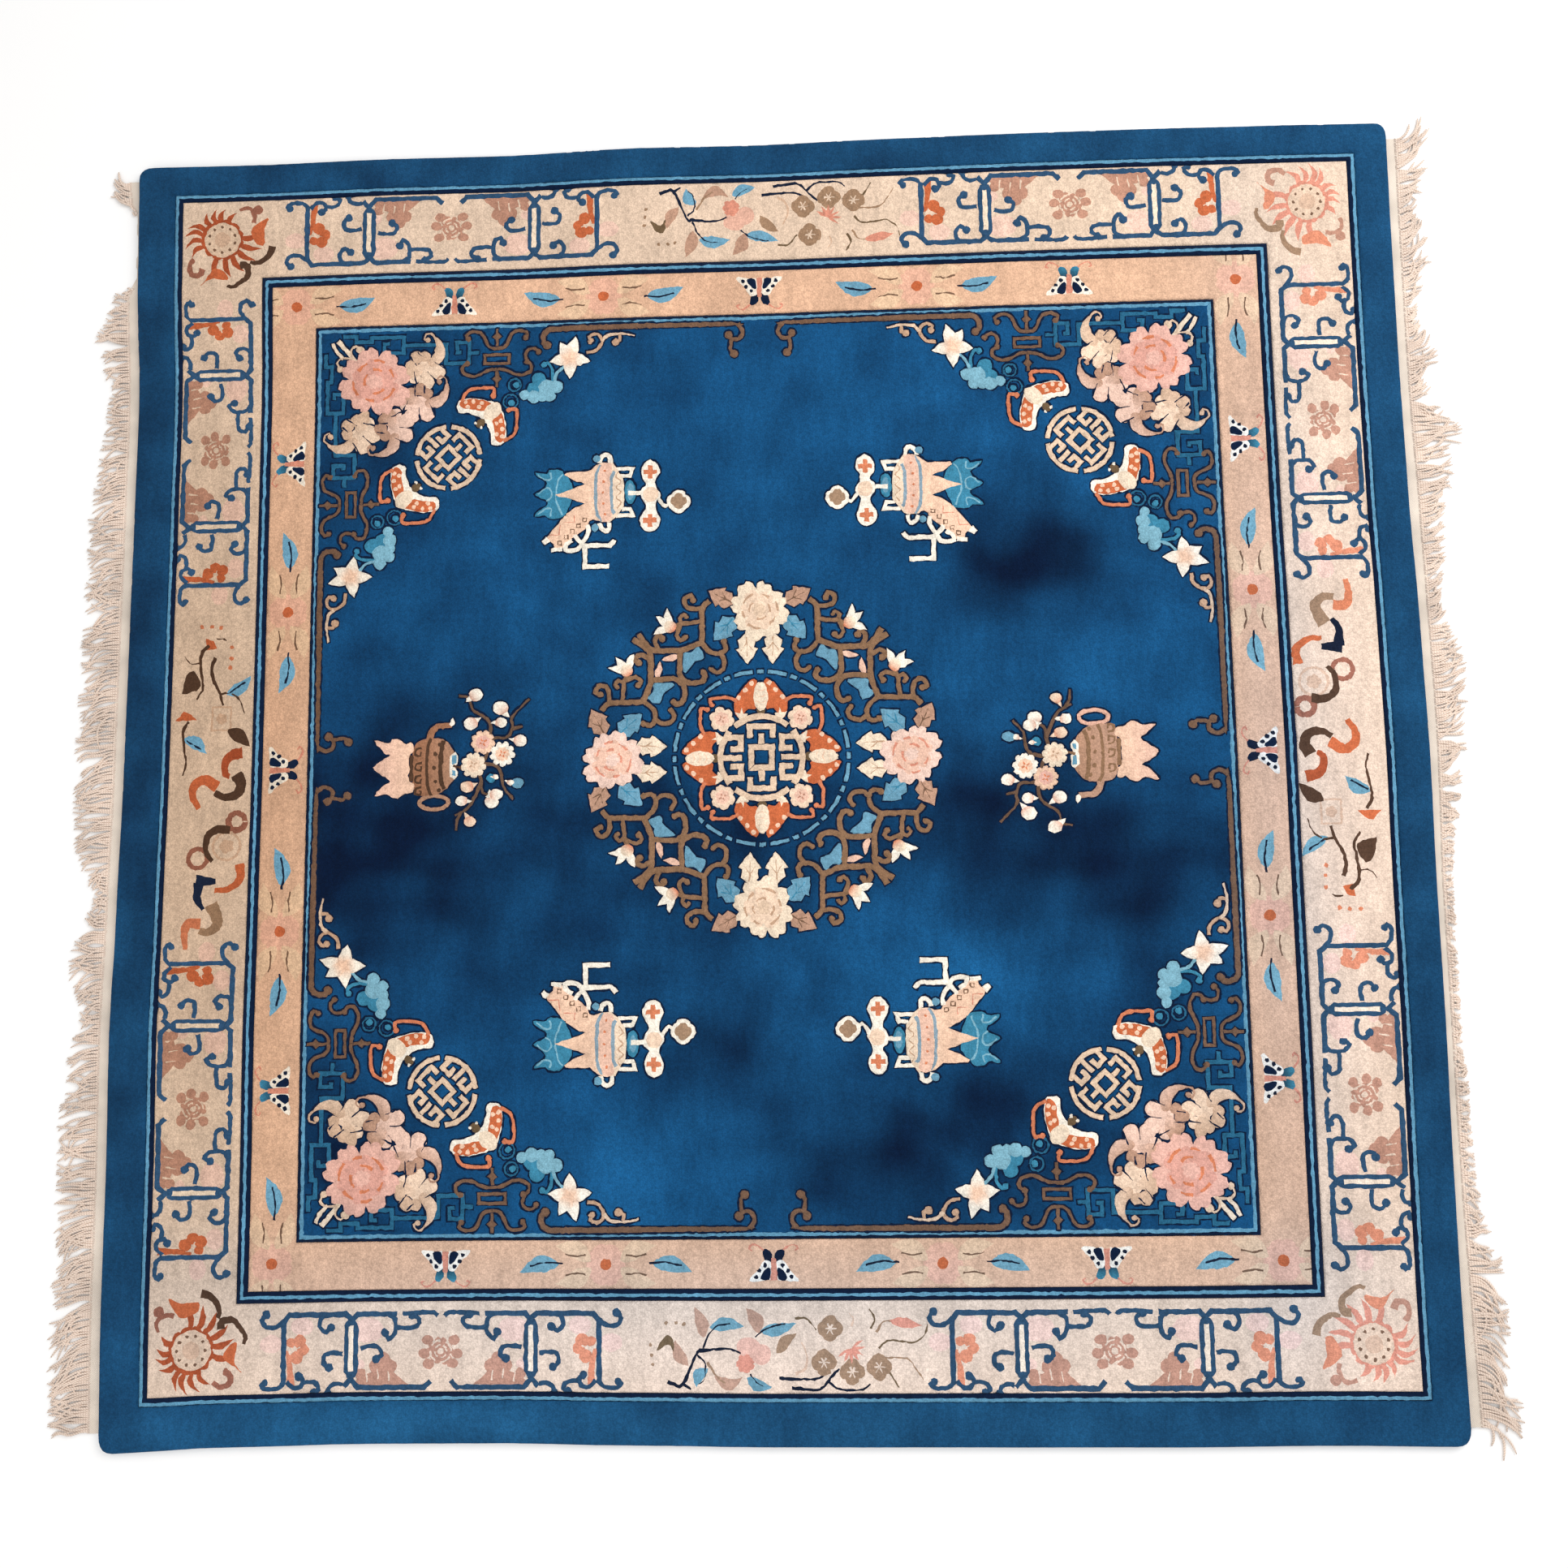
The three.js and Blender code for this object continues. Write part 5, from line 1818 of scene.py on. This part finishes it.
class RUG_OT_weave_webs(bpy.types.Operator):
    """Weaves the plain strip beyond the pile at both warp ends"""

    bl_idname = "rug.weave_webs"
    bl_label = "Weave webs"

    def execute(self, context):
        edge = pile_outline()
        rng = np.random.default_rng(7)
        make = partial(cotton_material, "cotton_web", linear(WEB_COTTON), 1.0)
        for side, sign in (("left", -1), ("right", 1)):
            mesh = web_mesh(side + "_web", side, sign, edge, rng)
            material = shared_material("cotton_web", make)
            placed_piece(side + "_web", mesh, material, side + "_fringe")
        return {"FINISHED"}


class RUG_OT_lay_fringe(bpy.types.Operator):
    """Lays the loose warp ends out on the floor"""

    bl_idname = "rug.lay_fringe"
    bl_label = "Lay fringe"

    def execute(self, context):
        sizes, _ = settings()
        edge = pile_outline()
        rng = np.random.default_rng(11)
        make = partial(cotton_material, "cotton_strand", linear(STRAND_COTTON), 1.26)
        for side, sign in (("left", -1), ("right", 1)):
            lines = strand_lines(side, sign, edge, sizes.strands, rng)
            mesh = strands_mesh(side + "_fringe_strands", lines, rng)
            material = shared_material("cotton_strand", make)
            placed_piece(mesh.name, mesh, material, side + "_fringe")
        return {"FINISHED"}


class RUG_OT_declare_cloth(bpy.types.Operator):
    """Gathers the names of the rug's pile, web and fringe pieces"""

    bl_idname = "rug.declare_cloth"
    bl_label = "Declare cloth"

    def execute(self, context):
        names = [name for name, *_ in BANDS] + ["field_pile"]
        names += [side + end for side in ("left", "right") for end in ("_web", "_fringe_strands")]
        return {"FINISHED"}


# Stage

IMAGE_SIDE = 1932  # pixels, square
FOCAL_PIXELS = 1800.0
SENSOR = 36.0
CAMERA_PLACE = (131.0, -336.0, 2713.0)
CAMERA_TURN = (6.28, 2.09, -0.91)


class RUG_OT_set_stage(bpy.types.Operator):
    """Sets the floor, the lights and the camera"""

    bl_idname = "rug.set_stage"
    bl_label = "Set stage"

    def execute(self, context):
        scene = context.scene
        floor = bpy.data.objects.new("floor", bpy.data.meshes.new("floor"))
        corners = [(-9, -9, -0.001), (9, -9, -0.001), (9, 9, -0.001), (-9, 9, -0.001)]
        floor.data.from_pydata(corners, [], [(0, 1, 2, 3)])
        floor.data.materials.append(plain_material("pale_floor", linear("f4f3f2"), 0.7))
        scene.collection.objects.link(floor)
        area_light(scene, "window", (2.6, 1.9, 3.2), 3.0, 120.0)
        area_light(scene, "room", (-1.5, -2.5, 4.0), 4.0, 60.0)
        world = bpy.data.worlds.new("room_light")
        world.use_nodes = True
        background = world.node_tree.nodes["Background"]
        background.inputs["Color"].default_value = (1.0, 1.0, 1.0, 1.0)
        background.inputs["Strength"].default_value = 0.75
        scene.world = world
        scene.view_settings.view_transform = "Standard"
        camera = bpy.data.objects.new("camera", bpy.data.cameras.new("camera"))
        camera.data.sensor_width = SENSOR
        camera.data.lens = FOCAL_PIXELS / IMAGE_SIDE * SENSOR
        camera.location = [v * MM for v in CAMERA_PLACE]
        camera.rotation_euler = [math.radians(v) for v in CAMERA_TURN]
        scene.collection.objects.link(camera)
        scene.camera = camera
        return {"FINISHED"}


def area_light(scene, name, place, size, power):
    """A square soft light that faces the middle of the rug."""
    light = bpy.data.lights.new(name, "AREA")
    light.size = size
    light.energy = power
    lamp = bpy.data.objects.new(name, light)
    lamp.location = place
    lamp.rotation_euler = Vector(place).to_track_quat("Z", "Y").to_euler()
    scene.collection.objects.link(lamp)


OPERATORS = (
    RUG_OT_set_stage,
    RUG_OT_weave_back,
    RUG_OT_knot_borders,
    RUG_OT_knot_field,
    RUG_OT_weave_webs,
    RUG_OT_lay_fringe,
    RUG_OT_declare_cloth,
)


class RUG_PT_sidebar(bpy.types.Panel):
    """The rug's sizes and steps"""

    bl_idname = "RUG_PT_sidebar"
    bl_label = "Knotted rug"
    bl_space_type = "VIEW_3D"
    bl_region_type = "UI"
    bl_category = "Rug"

    def draw(self, context):
        for group in (context.scene.rug_sizes, context.scene.rug_yarns):
            for name in group.__annotations__:
                self.layout.prop(group, name)
        for operator in OPERATORS:
            self.layout.operator(operator.bl_idname)


CLASSES = (RugSizes, RugYarns, *OPERATORS, RUG_PT_sidebar)


def register():
    for entry in CLASSES:
        bpy.utils.register_class(entry)
    bpy.types.Scene.rug_sizes = PointerProperty(type=RugSizes)
    bpy.types.Scene.rug_yarns = PointerProperty(type=RugYarns)


def unregister():
    del bpy.types.Scene.rug_yarns
    del bpy.types.Scene.rug_sizes
    for entry in reversed(CLASSES):
        bpy.utils.unregister_class(entry)


def main():
    register()
    bpy.ops.rug.set_stage()
    bpy.ops.rug.weave_back()
    bpy.ops.rug.knot_borders()
    bpy.ops.rug.knot_field()
    bpy.ops.rug.weave_webs()
    bpy.ops.rug.lay_fringe()
    bpy.ops.rug.declare_cloth()


if __name__ == "__main__":
    main()
